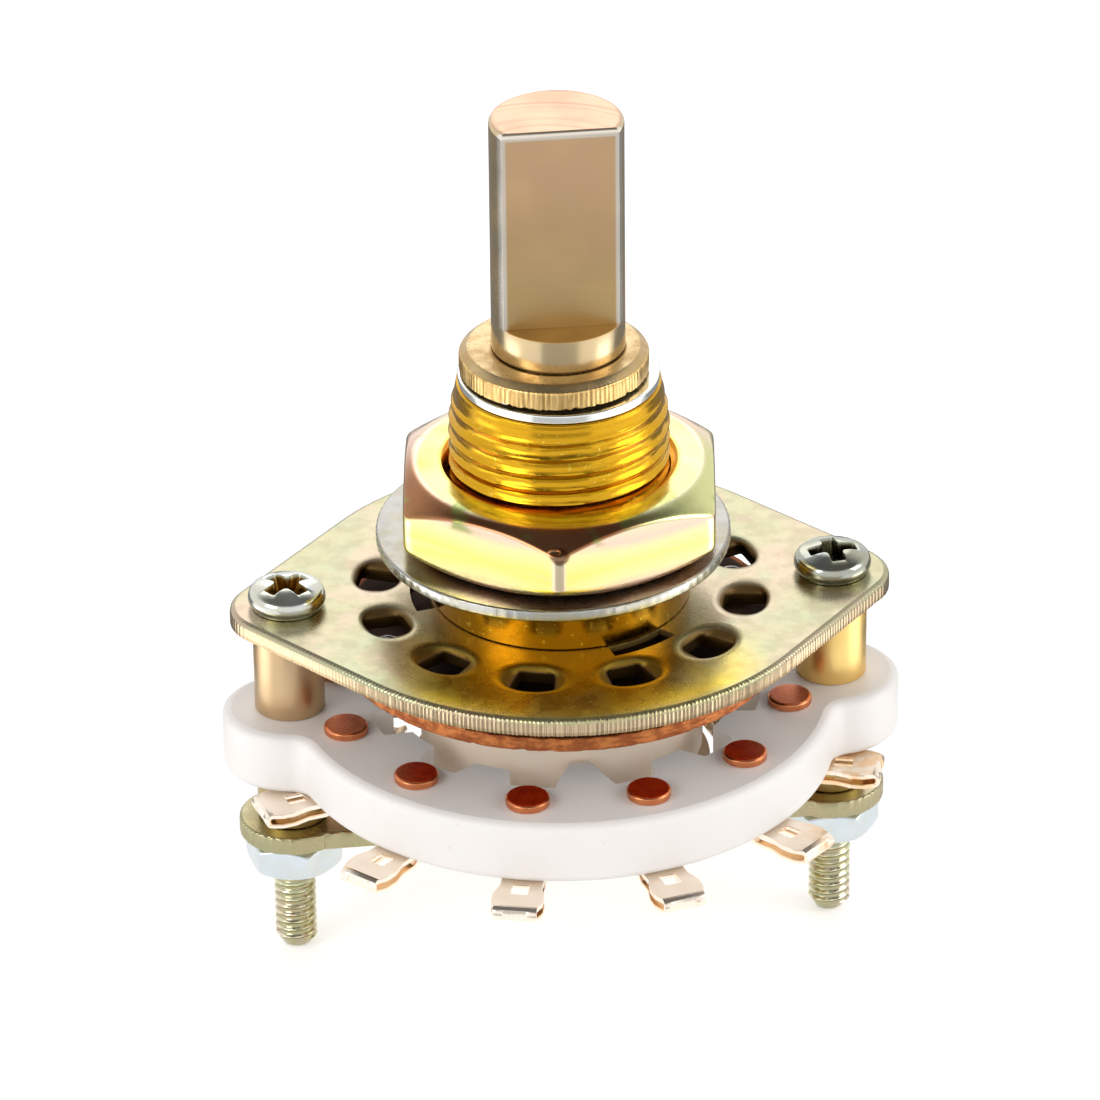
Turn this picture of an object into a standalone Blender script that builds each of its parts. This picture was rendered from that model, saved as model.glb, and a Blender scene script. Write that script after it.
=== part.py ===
"""Rotary wafer switch: a shaft in a threaded bushing, an indexing plate, and one ceramic wafer
with its ring of contacts, held together by two long screws.

+Z runs up the shaft and +X through the two screws. The origin is the middle of the panel seat,
the top face of the bushing's collar. Lengths are in metres and angles in degrees.
"""

import math

import bmesh
import bpy
from mathutils import Matrix

MM = 0.001

# Clearances
SEAT_GAP = 0.02 * MM  # between two pieces that rest on each other
FIT_GAP = 0.05 * MM  # radial, between a round piece and the hole around it
MERGE = 0.0005 * MM  # points this close are one point

# Shaft
SHAFT_DIAMETER = 6.0 * MM
SHAFT_ABOVE_SEAT = 21.0 * MM
SHAFT_CHAMFER = 0.2 * MM
ACROSS_FLAT = 4.5 * MM
FLAT_LENGTH = 9.6 * MM
FLAT_ANGLE = -90.0
SPIGOT_DIAMETER = 4.6 * MM  # below the bushing, through the index disc
STAKE_DIAMETER = 6.2 * MM  # the flange that rivets the disc and its spring on
STAKE_HEIGHT = 0.45 * MM
SPINDLE_WIDTH = 4.2 * MM
SPINDLE_THICKNESS = 1.6 * MM
SPINDLE_BELOW_STRAP = 0.6 * MM

# Retaining clip and the washer under it
GROOVE_DIAMETER = 5.0 * MM
CLIP_DIAMETER = 8.5 * MM
CLIP_THICKNESS = 0.93 * MM
CLIP_MOUTH = 4.4 * MM
CLIP_PLAY = 0.34 * MM
SHAFT_WASHER_DIAMETER = 9.08 * MM
SHAFT_WASHER_THICKNESS = 0.43 * MM

# Bushing
THREAD_DIAMETER = 9.96 * MM
THREAD_LENGTH = 8.1 * MM
THREAD_CHAMFER = 0.3 * MM
COLLAR_DIAMETER = 11.8 * MM
COLLAR_HEIGHT = 2.56 * MM
BUSHING_SPIGOT_DIAMETER = 8.4 * MM  # through the index plate
BUSHING_RIVET_DIAMETER = 9.6 * MM
BUSHING_RIVET_HEIGHT = 0.4 * MM

# Panel nut and washer
NUT_ACROSS_FLATS = 14.0 * MM
NUT_HEIGHT = 3.5 * MM
NUT_FACE_DIAMETER = 13.2 * MM  # where the chamfers meet the two faces
NUT_CHAMFER_ANGLE = 30.0
NUT_TURN = -7.0
COUNTERSINK = 0.3 * MM
PANEL_WASHER_DIAMETER = 16.04 * MM
PANEL_WASHER_BORE = 10.8 * MM
PANEL_WASHER_THICKNESS = 0.55 * MM
PANEL_WASHER_OFFSET = (-0.3 * MM, 0.1 * MM)

# Index plate
PLATE_THICKNESS = 0.8 * MM
PLATE_RADIUS = 12.15 * MM
PLATE_END_RADIUS = 2.6 * MM
SCREW_SPACING = 24.92 * MM
POSITIONS = 12
FIRST_POSITION = 15.0
DETENT_RADIUS = 8.4 * MM  # the circle that the detent holes and the balls lie on
DETENT_LENGTH = 1.9 * MM  # along the radius
DETENT_INNER_WIDTH = 1.5 * MM
DETENT_OUTER_WIDTH = 2.1 * MM
WINDOW_COUNT = 3
WINDOW_FIRST = -62.0
WINDOW_SPREAD = 28.0
WINDOW_WIDTH = 0.9 * MM

# Index disc, balls and leaf spring
DISC_DIAMETER = 20.6 * MM
DISC_THICKNESS = 0.7 * MM
DISC_DROP = 1.2 * MM  # from the plate's underside to the disc's top
BALL_DIAMETER = 2.0 * MM
BALL_ANGLES = (15.0, 195.0)
SPRING_THICKNESS = 0.2 * MM
SPRING_WIDTH = 2.0 * MM
SPRING_HUB_DIAMETER = 8.0 * MM

# Screws, spacers and nuts
SCREW_DIAMETER = 1.95 * MM
SCREW_LENGTH = 17.8 * MM
SCREW_HEAD_DIAMETER = 3.6 * MM
SCREW_HEAD_HEIGHT = 1.15 * MM
CROSS_SPAN = 2.2 * MM
CROSS_ARM = 0.55 * MM
CROSS_DEPTH = 0.85 * MM
CROSS_TURNS = {"left": 38.0, "right": 8.0}
SCREW_TIP = 0.33 * MM  # chamfer at the end of the thread
SPACER_DIAMETER = 3.2 * MM
UPPER_SPACER_LENGTH = 4.4 * MM
LOWER_SPACER_LENGTH = 2.72 * MM
SCREW_NUT_ACROSS_FLATS = 4.0 * MM
SCREW_NUT_HEIGHT = 1.7 * MM
SCREW_NUT_FACE_DIAMETER = 3.7 * MM
SCREW_NUT_COUNTERSINK = 0.15 * MM

# Ceramic wafer
WAFER_THICKNESS = 2.95 * MM
WAFER_RADIUS = 12.55 * MM
WAFER_EAR_RADIUS = 3.1 * MM
WAFER_EAR_FILLET = 1.1 * MM
WINDOW_OUTER_RADIUS = 9.1 * MM
WINDOW_HALF_ANGLE = 6.4
TOOTH_RADIUS = 7.85 * MM
TOOTH_HALF_ANGLE = 6.0
LONG_TOOTH_RADIUS = 6.75 * MM
LONG_TOOTH_HALF_ANGLE = 3.5
LONG_TEETH = (2, 8)  # the teeth at 90 and 270 degrees

# Rotor and its contact
ROTOR_DIAMETER = 12.9 * MM
ROTOR_ABOVE_WAFER = 0.75 * MM
ROTOR_NECK_DIAMETER = 11.2 * MM
ROTOR_NECK_RISE = 0.3 * MM  # how far the neck starts above the wafer's underside
ROTOR_BOSS_DIAMETER = 8.0 * MM
ROTOR_BOSS_HEIGHT = 1.0 * MM
ROTOR_SLOT_GAP = 0.06 * MM
BLADE_THICKNESS = 0.3 * MM
BLADE_DROP = 0.62 * MM  # from the wafer's underside to the blade's top
BLADE_RING_DIAMETER = 13.6 * MM
BLADE_NOSE_RADIUS = 8.4 * MM
BLADE_NOSE_HALF_ANGLE = 9.0
BLADE_NOSE_ANGLE = -75.0  # straight under the first of the two front contacts

# Rivets and contact clips
RIVET_CIRCLE_RADIUS = 10.5 * MM
RIVET_HEAD_DIAMETER = 2.0 * MM
RIVET_HEAD_HEIGHT = 0.38 * MM
RIVET_SHANK_DIAMETER = 1.2 * MM
RIVET_TAIL_DIAMETER = 1.7 * MM
RIVET_TAIL_HEIGHT = 0.3 * MM
RIVET_EDGE = 0.12 * MM  # rounding of head and tail
STRIP_THICKNESS = 0.22 * MM
STRIP_GAP = 0.05 * MM  # from a jaw to the blade that it wipes
NECK_WIDTH = 1.9 * MM
LUG_WIDTH = 2.35 * MM
LUG_REACH = 14.8 * MM
LUG_FLARE_RADIUS = 13.5 * MM
LUG_DEPTH = 0.72 * MM
LUG_HOLE_WIDTH = 0.8 * MM
LUG_HOLE_SPAN = (12.6 * MM, 13.45 * MM)
LUG_NOTCH_WIDTH = 1.3 * MM
LUG_NOTCH_DEPTH = 0.36 * MM
JAW_REACH = 7.4 * MM
COMMON_JAW_REACH = 6.3 * MM
COMMON_POSITION = 3
JAW_LIP = 0.35 * MM  # the lead-in at the end of a jaw
JAW_LIP_RISE = 0.17 * MM

# Rear strap
STRAP_THICKNESS = 0.88 * MM
STRAP_END_RADIUS = 2.45 * MM
STRAP_WIDTH = 4.2 * MM
STRAP_HOLE_DIAMETER = 5.0 * MM
STRAP_RIM = 1.2 * MM  # round the middle hole

# How finely round things are faceted
LARGE_STEPS = 36
MIDDLE_STEPS = 24
SMALL_STEPS = 16
RIVET_STEPS = 10

# Levels that follow from the sizes above
HALF_SPACING = SCREW_SPACING / 2
PLATE_TOP = -COLLAR_HEIGHT - SEAT_GAP
PLATE_BOTTOM = PLATE_TOP - PLATE_THICKNESS
DISC_TOP = PLATE_BOTTOM - DISC_DROP
DISC_BOTTOM = DISC_TOP - DISC_THICKNESS
BALL_TOP = PLATE_BOTTOM - FIT_GAP
SPRING_TOP = min(DISC_BOTTOM, BALL_TOP - BALL_DIAMETER) - SEAT_GAP
SPRING_BOTTOM = SPRING_TOP - SPRING_THICKNESS
STAKE_TOP = SPRING_BOTTOM - SEAT_GAP
STAKE_BOTTOM = STAKE_TOP - STAKE_HEIGHT
WAFER_TOP = PLATE_BOTTOM - UPPER_SPACER_LENGTH - 2 * SEAT_GAP
WAFER_BOTTOM = WAFER_TOP - WAFER_THICKNESS
STRAP_TOP = WAFER_BOTTOM - LOWER_SPACER_LENGTH - 2 * SEAT_GAP
STRAP_BOTTOM = STRAP_TOP - STRAP_THICKNESS
BLADE_TOP = WAFER_BOTTOM - BLADE_DROP
BLADE_BOTTOM = BLADE_TOP - BLADE_THICKNESS
WASHER_ON_BUSHING = THREAD_LENGTH + SEAT_GAP
CLIP_BOTTOM = WASHER_ON_BUSHING + SHAFT_WASHER_THICKNESS + CLIP_PLAY
CLIP_TOP = CLIP_BOTTOM + CLIP_THICKNESS


def clear_scene():
    for obj in list(bpy.data.objects):
        bpy.data.objects.remove(obj)


def new_collection(name):
    collection = bpy.data.collections.new(name)
    bpy.context.scene.collection.children.link(collection)
    return collection


def make_material(name, colour, roughness, metallic):
    material = bpy.data.materials.new(name)
    material.use_nodes = True
    shader = material.node_tree.nodes["Principled BSDF"]
    shader.inputs["Base Color"].default_value = (*colour, 1.0)
    shader.inputs["Roughness"].default_value = roughness
    shader.inputs["Metallic"].default_value = metallic
    return material


def polar(radius, angle):
    turn = math.radians(angle)
    return radius * math.cos(turn), radius * math.sin(turn)


def arc(centre, radius, start, end, count):
    """Points on an arc, both ends included."""
    points = []
    for i in range(count):
        x, y = polar(radius, start + (end - start) * i / (count - 1))
        points.append((centre[0] + x, centre[1] + y))
    return points


def circle(centre, radius, count):
    return arc(centre, radius, 0.0, 360.0, count + 1)[:-1]


def add_object(name, data, collection, material=None):
    obj = bpy.data.objects.new(name, data)
    collection.objects.link(obj)
    if material:
        data.materials.append(material)
    return obj


def turned(name, profile, collection, material=None, steps=LARGE_STEPS, closed=True):
    """A turned piece. The profile runs down its outer side and back up the bore, or ends on the axis."""
    count = len(profile)
    edges = [(i, i + 1) for i in range(count - 1)]
    if closed:
        edges.append((count - 1, 0))
    mesh = bpy.data.meshes.new(name)
    mesh.from_pydata([(radius, 0.0, height) for radius, height in profile], edges, [])
    obj = add_object(name, mesh, collection, material)
    screw = obj.modifiers.new("Turn", "SCREW")
    screw.steps = steps
    screw.render_steps = steps
    screw.use_merge_vertices = True
    screw.merge_threshold = MERGE
    return obj


def tube_profile(outer_radius, inner_radius, top, bottom):
    return [(inner_radius, top), (outer_radius, top), (outer_radius, bottom), (inner_radius, bottom)]


def flat_curve(name, loops, thickness, collection):
    """A flat piece with holes, centred on its own XY plane: the first loop is the outline."""
    curve = bpy.data.curves.new(name, "CURVE")
    curve.dimensions = "2D"
    curve.fill_mode = "BOTH"
    curve.extrude = thickness / 2
    for loop in loops:
        spline = curve.splines.new("POLY")
        spline.points.add(len(loop) - 1)
        for point, (x, y) in zip(spline.points, loop):
            point.co = (x, y, 0.0, 1.0)
        spline.use_cyclic_u = True
    return add_object(name, curve, collection)


def to_mesh(obj, collection, material):
    """Replaces a curve, or an object with modifiers, by its plain welded mesh."""
    name = obj.name
    bpy.context.view_layer.update()
    graph = bpy.context.evaluated_depsgraph_get()
    mesh = bpy.data.meshes.new_from_object(obj.evaluated_get(graph))
    matrix = obj.matrix_world.copy()
    bpy.data.objects.remove(obj)
    mesh.name = name
    mesh.transform(matrix)
    bm = bmesh.new()
    bm.from_mesh(mesh)
    bmesh.ops.remove_doubles(bm, verts=bm.verts, dist=MERGE)
    bm.to_mesh(mesh)
    bm.free()
    mesh.materials.clear()
    return add_object(name, mesh, collection, material)


def stamped(name, loops, top, thickness, collection, material):
    """A flat stamping between two levels, as a mesh."""
    blank = flat_curve(name, loops, thickness, collection)
    blank.location.z = top - thickness / 2
    return to_mesh(blank, collection, material)


def box_into(bm, low, high):
    centre = [(a + b) / 2 for a, b in zip(low, high)]
    corners = bmesh.ops.create_cube(bm, size=1.0)["verts"]
    for vert in corners:
        vert.co = [c + v * (b - a) for c, v, a, b in zip(centre, vert.co, low, high)]
    return corners


def cutter(name, bm, cutters):
    mesh = bpy.data.meshes.new(name)
    bm.to_mesh(mesh)
    bm.free()
    obj = add_object(name, mesh, cutters)
    obj.hide_render = True
    obj.display_type = "WIRE"
    return obj


def boolean(obj, other, operation="DIFFERENCE"):
    modifier = obj.modifiers.new(other.name, "BOOLEAN")
    modifier.operation = operation
    modifier.solver = "EXACT"
    modifier.object = other


def shade(obj, angle=35.0):
    if obj.type == "MESH" and obj.data.polygons:
        obj.data.shade_smooth()
        obj.data.set_sharp_from_angle(angle=math.radians(angle))


def make_shaft(parts, cutters, material):
    """The shaft with its D flat, clip groove and flat spindle end, turned and milled from one bar."""
    radius = SHAFT_DIAMETER / 2
    spigot = SPIGOT_DIAMETER / 2
    profile = [
        (0.0, SHAFT_ABOVE_SEAT),
        (radius - SHAFT_CHAMFER, SHAFT_ABOVE_SEAT),
        (radius, SHAFT_ABOVE_SEAT - SHAFT_CHAMFER),
        (radius, CLIP_TOP + SEAT_GAP),
        (GROOVE_DIAMETER / 2, CLIP_TOP + SEAT_GAP),
        (GROOVE_DIAMETER / 2, CLIP_BOTTOM - SEAT_GAP),
        (radius, CLIP_BOTTOM - SEAT_GAP),
        (radius, DISC_TOP + SEAT_GAP),
        (spigot, DISC_TOP + SEAT_GAP),
        (spigot, STAKE_TOP),
        (STAKE_DIAMETER / 2, STAKE_TOP),
        (STAKE_DIAMETER / 2, STAKE_BOTTOM),
        (0.0, STAKE_BOTTOM),
    ]
    shaft = turned("shaft", profile, parts, material, closed=False)

    margin = SHAFT_DIAMETER
    cut = bmesh.new()
    low = (ACROSS_FLAT - radius, -margin, SHAFT_ABOVE_SEAT - FLAT_LENGTH)
    box_into(cut, low, (margin, margin, SHAFT_ABOVE_SEAT + margin))
    turn = Matrix.Rotation(math.radians(FLAT_ANGLE), 3, "Z")
    bmesh.ops.rotate(cut, verts=cut.verts, matrix=turn)
    boolean(shaft, cutter("flat_cutter", cut, cutters))

    bar = bmesh.new()
    high = (SPINDLE_WIDTH / 2, SPINDLE_THICKNESS / 2, STAKE_BOTTOM + STAKE_HEIGHT / 2)
    box_into(bar, (-high[0], -high[1], STRAP_BOTTOM - SPINDLE_BELOW_STRAP), high)
    boolean(shaft, cutter("spindle_bar", bar, cutters), "UNION")


def make_retaining_clip(parts, cutters, material):
    """An E-type ring in the shaft's groove: a thick washer with a mouth at the back."""
    bore = GROOVE_DIAMETER / 2 + FIT_GAP
    clip = turned(
        "retaining_clip", tube_profile(CLIP_DIAMETER / 2, bore, CLIP_TOP, CLIP_BOTTOM), parts, material
    )
    cut = bmesh.new()
    low = (-CLIP_MOUTH / 2, 0.0, CLIP_BOTTOM - CLIP_THICKNESS)
    box_into(cut, low, (CLIP_MOUTH / 2, CLIP_DIAMETER, CLIP_TOP + CLIP_THICKNESS))
    boolean(clip, cutter("clip_mouth_cutter", cut, cutters))


def make_shaft_washer(parts, material):
    bore = SHAFT_DIAMETER / 2 + 2 * FIT_GAP
    top = WASHER_ON_BUSHING + SHAFT_WASHER_THICKNESS
    profile = tube_profile(SHAFT_WASHER_DIAMETER / 2, bore, top, WASHER_ON_BUSHING)
    turned("shaft_washer", profile, parts, material)


def make_bushing(parts, material):
    """The threaded bushing, riveted over under the index plate."""
    bore = SHAFT_DIAMETER / 2 + FIT_GAP
    thread = THREAD_DIAMETER / 2
    spigot = BUSHING_SPIGOT_DIAMETER / 2
    rivet_top = PLATE_BOTTOM - SEAT_GAP
    profile = [
        (bore, THREAD_LENGTH),
        (thread - THREAD_CHAMFER, THREAD_LENGTH),
        (thread, THREAD_LENGTH - THREAD_CHAMFER),
        (thread, 0.0),
        (COLLAR_DIAMETER / 2, 0.0),
        (COLLAR_DIAMETER / 2, -COLLAR_HEIGHT),
        (spigot, -COLLAR_HEIGHT),
        (spigot, rivet_top),
        (BUSHING_RIVET_DIAMETER / 2, rivet_top),
        (spigot, rivet_top - BUSHING_RIVET_HEIGHT),
        (bore, rivet_top - BUSHING_RIVET_HEIGHT),
    ]
    turned("bushing", profile, parts, material)


def make_hex_nut(name, sizes, top, bottom, steps, parts, cutters, material):
    """A hexagonal nut chamfered on both faces, centred on its own Z axis."""
    across_flats, face_diameter, bore, sink = sizes
    corner = across_flats / math.sqrt(3.0)
    face = face_diameter / 2
    drop = (corner - face) * math.tan(math.radians(NUT_CHAMFER_ANGLE))
    profile = [
        (bore + sink, top),
        (face, top),
        (corner, top - drop),
        (corner, bottom + drop),
        (face, bottom),
        (bore + sink, bottom),
        (bore, bottom + sink),
        (bore, top - sink),
    ]
    nut = turned(name, profile, parts, material, steps)
    prism = bmesh.new()
    bmesh.ops.create_cone(
        prism, cap_ends=True, segments=6, radius1=corner, radius2=corner, depth=2 * (top - bottom)
    )
    bmesh.ops.translate(prism, verts=prism.verts, vec=(0.0, 0.0, (top + bottom) / 2))
    tool = cutter(name + "_hexagon", prism, cutters)
    tool.parent = nut
    boolean(nut, tool, "INTERSECT")
    return nut


def make_panel_hardware(parts, cutters, nut_material, washer_material):
    washer_bottom = SEAT_GAP
    washer_top = washer_bottom + PANEL_WASHER_THICKNESS
    profile = tube_profile(PANEL_WASHER_DIAMETER / 2, PANEL_WASHER_BORE / 2, washer_top, washer_bottom)
    washer = turned("panel_washer", profile, parts, washer_material)
    washer.location.x, washer.location.y = PANEL_WASHER_OFFSET

    bottom = washer_top + SEAT_GAP
    sizes = (NUT_ACROSS_FLATS, NUT_FACE_DIAMETER, THREAD_DIAMETER / 2 + FIT_GAP, COUNTERSINK)
    top = bottom + NUT_HEIGHT
    nut = make_hex_nut("panel_nut", sizes, top, bottom, LARGE_STEPS, parts, cutters, nut_material)
    nut.rotation_euler.z = math.radians(NUT_TURN)


def hull_outline(radius, end_radius, reach, steps):
    """A disc with a small round end on each side, joined by straight tangents."""
    lean = math.degrees(math.acos((radius - end_radius) / reach))
    right = arc((reach, 0.0), end_radius, -lean, lean, steps)
    top = arc((0.0, 0.0), radius, lean, 180.0 - lean, 2 * steps)
    left = arc((-reach, 0.0), end_radius, 180.0 - lean, 180.0 + lean, steps)
    bottom = arc((0.0, 0.0), radius, 180.0 + lean, 360.0 - lean, 2 * steps)
    return right + top + left + bottom


def detent_hole(angle):
    """A punched trapezoid, wider at its outer end."""
    inner = DETENT_RADIUS - DETENT_LENGTH / 2
    outer = DETENT_RADIUS + DETENT_LENGTH / 2
    corners = (
        (inner, -DETENT_INNER_WIDTH / 2),
        (outer, -DETENT_OUTER_WIDTH / 2),
        (outer, DETENT_OUTER_WIDTH / 2),
        (inner, DETENT_INNER_WIDTH / 2),
    )
    c, s = polar(1.0, angle)
    return [(x * c - y * s, x * s + y * c) for x, y in corners]


def staking_window(angle):
    """A curved slot round the collar, where the bushing was staked."""
    inner = COLLAR_DIAMETER / 2 + FIT_GAP
    start, end = angle - WINDOW_SPREAD / 2, angle + WINDOW_SPREAD / 2
    outer_side = arc((0.0, 0.0), inner + WINDOW_WIDTH, start, end, 7)
    return outer_side + arc((0.0, 0.0), inner, end, start, 7)


def position_angle(index):
    return FIRST_POSITION + 360.0 * index / POSITIONS


def screw_places():
    return (("left", -HALF_SPACING), ("right", HALF_SPACING))


def make_index_plate(parts, material):
    loops = [hull_outline(PLATE_RADIUS, PLATE_END_RADIUS, HALF_SPACING, 9)]
    loops.append(circle((0.0, 0.0), BUSHING_SPIGOT_DIAMETER / 2 + FIT_GAP, LARGE_STEPS))
    for _, x in screw_places():
        loops.append(circle((x, 0.0), SCREW_DIAMETER / 2 + FIT_GAP, SMALL_STEPS))
    for i in range(POSITIONS):
        loops.append(detent_hole(position_angle(i)))
    for i in range(WINDOW_COUNT):
        loops.append(staking_window(WINDOW_FIRST + 360.0 * i / WINDOW_COUNT))
    stamped("index_plate", loops, PLATE_TOP, PLATE_THICKNESS, parts, material)


def make_index_disc(parts, material):
    loops = [
        circle((0.0, 0.0), DISC_DIAMETER / 2, LARGE_STEPS),
        circle((0.0, 0.0), SPIGOT_DIAMETER / 2 + FIT_GAP, LARGE_STEPS),
    ]
    for angle in BALL_ANGLES:
        loops.append(circle(polar(DETENT_RADIUS, angle), BALL_DIAMETER / 2 + FIT_GAP, SMALL_STEPS))
    stamped("index_disc", loops, DISC_TOP, DISC_THICKNESS, parts, material)


def make_balls(parts, material):
    for number, angle in enumerate(BALL_ANGLES, 1):
        bm = bmesh.new()
        bmesh.ops.create_uvsphere(
            bm, u_segments=SMALL_STEPS, v_segments=SMALL_STEPS // 2, radius=BALL_DIAMETER / 2
        )
        x, y = polar(DETENT_RADIUS, angle)
        bmesh.ops.translate(bm, verts=bm.verts, vec=(x, y, BALL_TOP - BALL_DIAMETER / 2))
        mesh = bpy.data.meshes.new("detent_ball_%d" % number)
        bm.to_mesh(mesh)
        bm.free()
        add_object(mesh.name, mesh, parts, material)


def make_leaf_spring(parts, material):
    """A flat strip with a round middle on the shaft, pressing both balls up."""
    hub = SPRING_HUB_DIAMETER / 2
    half = SPRING_WIDTH / 2
    meet = math.degrees(math.asin(half / hub))
    outline = arc((DETENT_RADIUS, 0.0), half, -90.0, 90.0, 7)
    outline += arc((0.0, 0.0), hub, meet, 180.0 - meet, 13)
    outline += [(-x, -y) for x, y in outline]
    loops = [outline, circle((0.0, 0.0), SPIGOT_DIAMETER / 2 + FIT_GAP, LARGE_STEPS)]
    spring = stamped("detent_spring", loops, SPRING_TOP, SPRING_THICKNESS, parts, material)
    spring.rotation_euler.z = math.radians(BALL_ANGLES[0])


def make_screw(side, x, parts, cutters, material):
    """A pan-head screw with a cross recess, its head on the index plate."""
    radius = SCREW_DIAMETER / 2
    head = SCREW_HEAD_DIAMETER / 2
    seat = PLATE_TOP + SEAT_GAP
    end = seat - SCREW_LENGTH
    dome = [(0.0, 1.0), (0.45, 0.97), (0.75, 0.83), (0.93, 0.6), (1.0, 0.34), (0.94, 0.1), (0.86, 0.0)]
    profile = [(head * across, seat + SCREW_HEAD_HEIGHT * up) for across, up in dome]
    profile += [(radius, seat), (radius, end + SCREW_TIP), (radius - SCREW_TIP, end), (0.0, end)]
    screw = turned("screw_" + side, profile, parts, material, SMALL_STEPS, closed=False)
    screw.location.x = x

    top = seat + SCREW_HEAD_HEIGHT
    span, arm = CROSS_SPAN / 2, CROSS_ARM / 2
    for number in range(2):
        slot = bmesh.new()
        box_into(slot, (-span, -arm, top - CROSS_DEPTH), (span, arm, top + CROSS_DEPTH))
        tool = cutter("slot_cutter_%s_%d" % (side, number), slot, cutters)
        tool.location.x = x
        tool.rotation_euler.z = math.radians(CROSS_TURNS[side] + 90.0 * number)
        boolean(screw, tool)


def make_spacer(name, x, top, length, parts, material):
    bore = SCREW_DIAMETER / 2 + FIT_GAP
    profile = tube_profile(SPACER_DIAMETER / 2, bore, top, top - length)
    spacer = turned(name, profile, parts, material, SMALL_STEPS)
    spacer.location.x = x


def make_screw_nut(side, x, parts, cutters, material):
    top = STRAP_BOTTOM - SEAT_GAP
    bottom = top - SCREW_NUT_HEIGHT
    bore = SCREW_DIAMETER / 2 + FIT_GAP
    sizes = (SCREW_NUT_ACROSS_FLATS, SCREW_NUT_FACE_DIAMETER, bore, SCREW_NUT_COUNTERSINK)
    nut = make_hex_nut("screw_nut_" + side, sizes, top, bottom, MIDDLE_STEPS, parts, cutters, material)
    nut.location.x = x


def fillet_between(body, ear, reach, fillet):
    """Centre of the hollow fillet where an ear of the wafer leaves its round body."""
    x = ((body + fillet) ** 2 - (ear + fillet) ** 2 + reach**2) / (2 * reach)
    return x, math.sqrt((body + fillet) ** 2 - x * x)


def wafer_outline():
    """One quarter of the wafer with half an ear, then the other three by symmetry."""
    fx, fy = fillet_between(WAFER_RADIUS, WAFER_EAR_RADIUS, HALF_SPACING, WAFER_EAR_FILLET)
    ear_end = math.degrees(math.atan2(fy, fx - HALF_SPACING))
    body_start = math.degrees(math.atan2(fy, fx))
    quarter = arc((HALF_SPACING, 0.0), WAFER_EAR_RADIUS, 0.0, ear_end, 8)
    quarter += arc((fx, fy), WAFER_EAR_FILLET, ear_end + 180.0, body_start + 180.0, 5)[1:-1]
    quarter += arc((0.0, 0.0), WAFER_RADIUS, body_start, 90.0, 10)
    half = quarter + [(-x, y) for x, y in reversed(quarter[:-1])]
    return half + [(x, -y) for x, y in reversed(half[1:-1])]


def wafer_bore():
    """The toothed hole: a window at each contact, and a tooth between one window and the next."""
    loop = []
    for i in range(POSITIONS):
        window = position_angle(i)
        start, end = window - WINDOW_HALF_ANGLE, window + WINDOW_HALF_ANGLE
        loop += arc((0.0, 0.0), WINDOW_OUTER_RADIUS, start, end, 3)
        tooth = window + 180.0 / POSITIONS
        is_long = i in LONG_TEETH
        radius = LONG_TOOTH_RADIUS if is_long else TOOTH_RADIUS
        half = LONG_TOOTH_HALF_ANGLE if is_long else TOOTH_HALF_ANGLE
        loop += arc((0.0, 0.0), radius, tooth - half, tooth + half, 3)
    return loop


def make_stator(parts, material):
    loops = [wafer_outline(), wafer_bore()]
    for _, x in screw_places():
        loops.append(circle((x, 0.0), SCREW_DIAMETER / 2 + FIT_GAP, SMALL_STEPS))
    for i in range(POSITIONS):
        centre = polar(RIVET_CIRCLE_RADIUS, position_angle(i))
        loops.append(circle(centre, RIVET_SHANK_DIAMETER / 2 + FIT_GAP, RIVET_STEPS))
    stamped("stator", loops, WAFER_TOP, WAFER_THICKNESS, parts, material)


def make_rotor(parts, cutters, material):
    """The ceramic rotor, with a slot for the flat spindle and a boss that carries the blade."""
    shoulder = BLADE_TOP + SEAT_GAP
    end = BLADE_BOTTOM - ROTOR_BOSS_HEIGHT
    outer = ROTOR_DIAMETER / 2
    neck = ROTOR_NECK_DIAMETER / 2
    neck_top = WAFER_BOTTOM + ROTOR_NECK_RISE
    boss = ROTOR_BOSS_DIAMETER / 2
    profile = [
        (0.0, WAFER_TOP + ROTOR_ABOVE_WAFER),
        (outer, WAFER_TOP + ROTOR_ABOVE_WAFER),
        (outer, neck_top),
        (neck, neck_top),
        (neck, shoulder),
        (boss, shoulder),
        (boss, end),
        (0.0, end),
    ]
    rotor = turned("rotor", profile, parts, material, closed=False)
    slot = bmesh.new()
    half_width = SPINDLE_WIDTH / 2 + ROTOR_SLOT_GAP
    half_thickness = SPINDLE_THICKNESS / 2 + ROTOR_SLOT_GAP
    low = (-half_width, -half_thickness, end - ROTOR_BOSS_HEIGHT)
    box_into(slot, low, (half_width, half_thickness, WAFER_TOP + 3 * ROTOR_ABOVE_WAFER))
    boolean(rotor, cutter("rotor_slot_cutter", slot, cutters))


def make_rotor_contact(parts, material):
    """The blade under the rotor: a ring that the common jaw wipes, with one nose for the others."""
    nose_low = BLADE_NOSE_ANGLE - BLADE_NOSE_HALF_ANGLE
    nose_high = BLADE_NOSE_ANGLE + BLADE_NOSE_HALF_ANGLE
    outline = arc((0.0, 0.0), BLADE_NOSE_RADIUS, nose_low, nose_high, 5)
    outline += arc((0.0, 0.0), BLADE_RING_DIAMETER / 2, nose_high, nose_low + 360.0, LARGE_STEPS)
    loops = [outline, circle((0.0, 0.0), ROTOR_BOSS_DIAMETER / 2 + FIT_GAP, LARGE_STEPS)]
    stamped("rotor_contact", loops, BLADE_TOP, BLADE_THICKNESS, parts, material)


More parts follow.
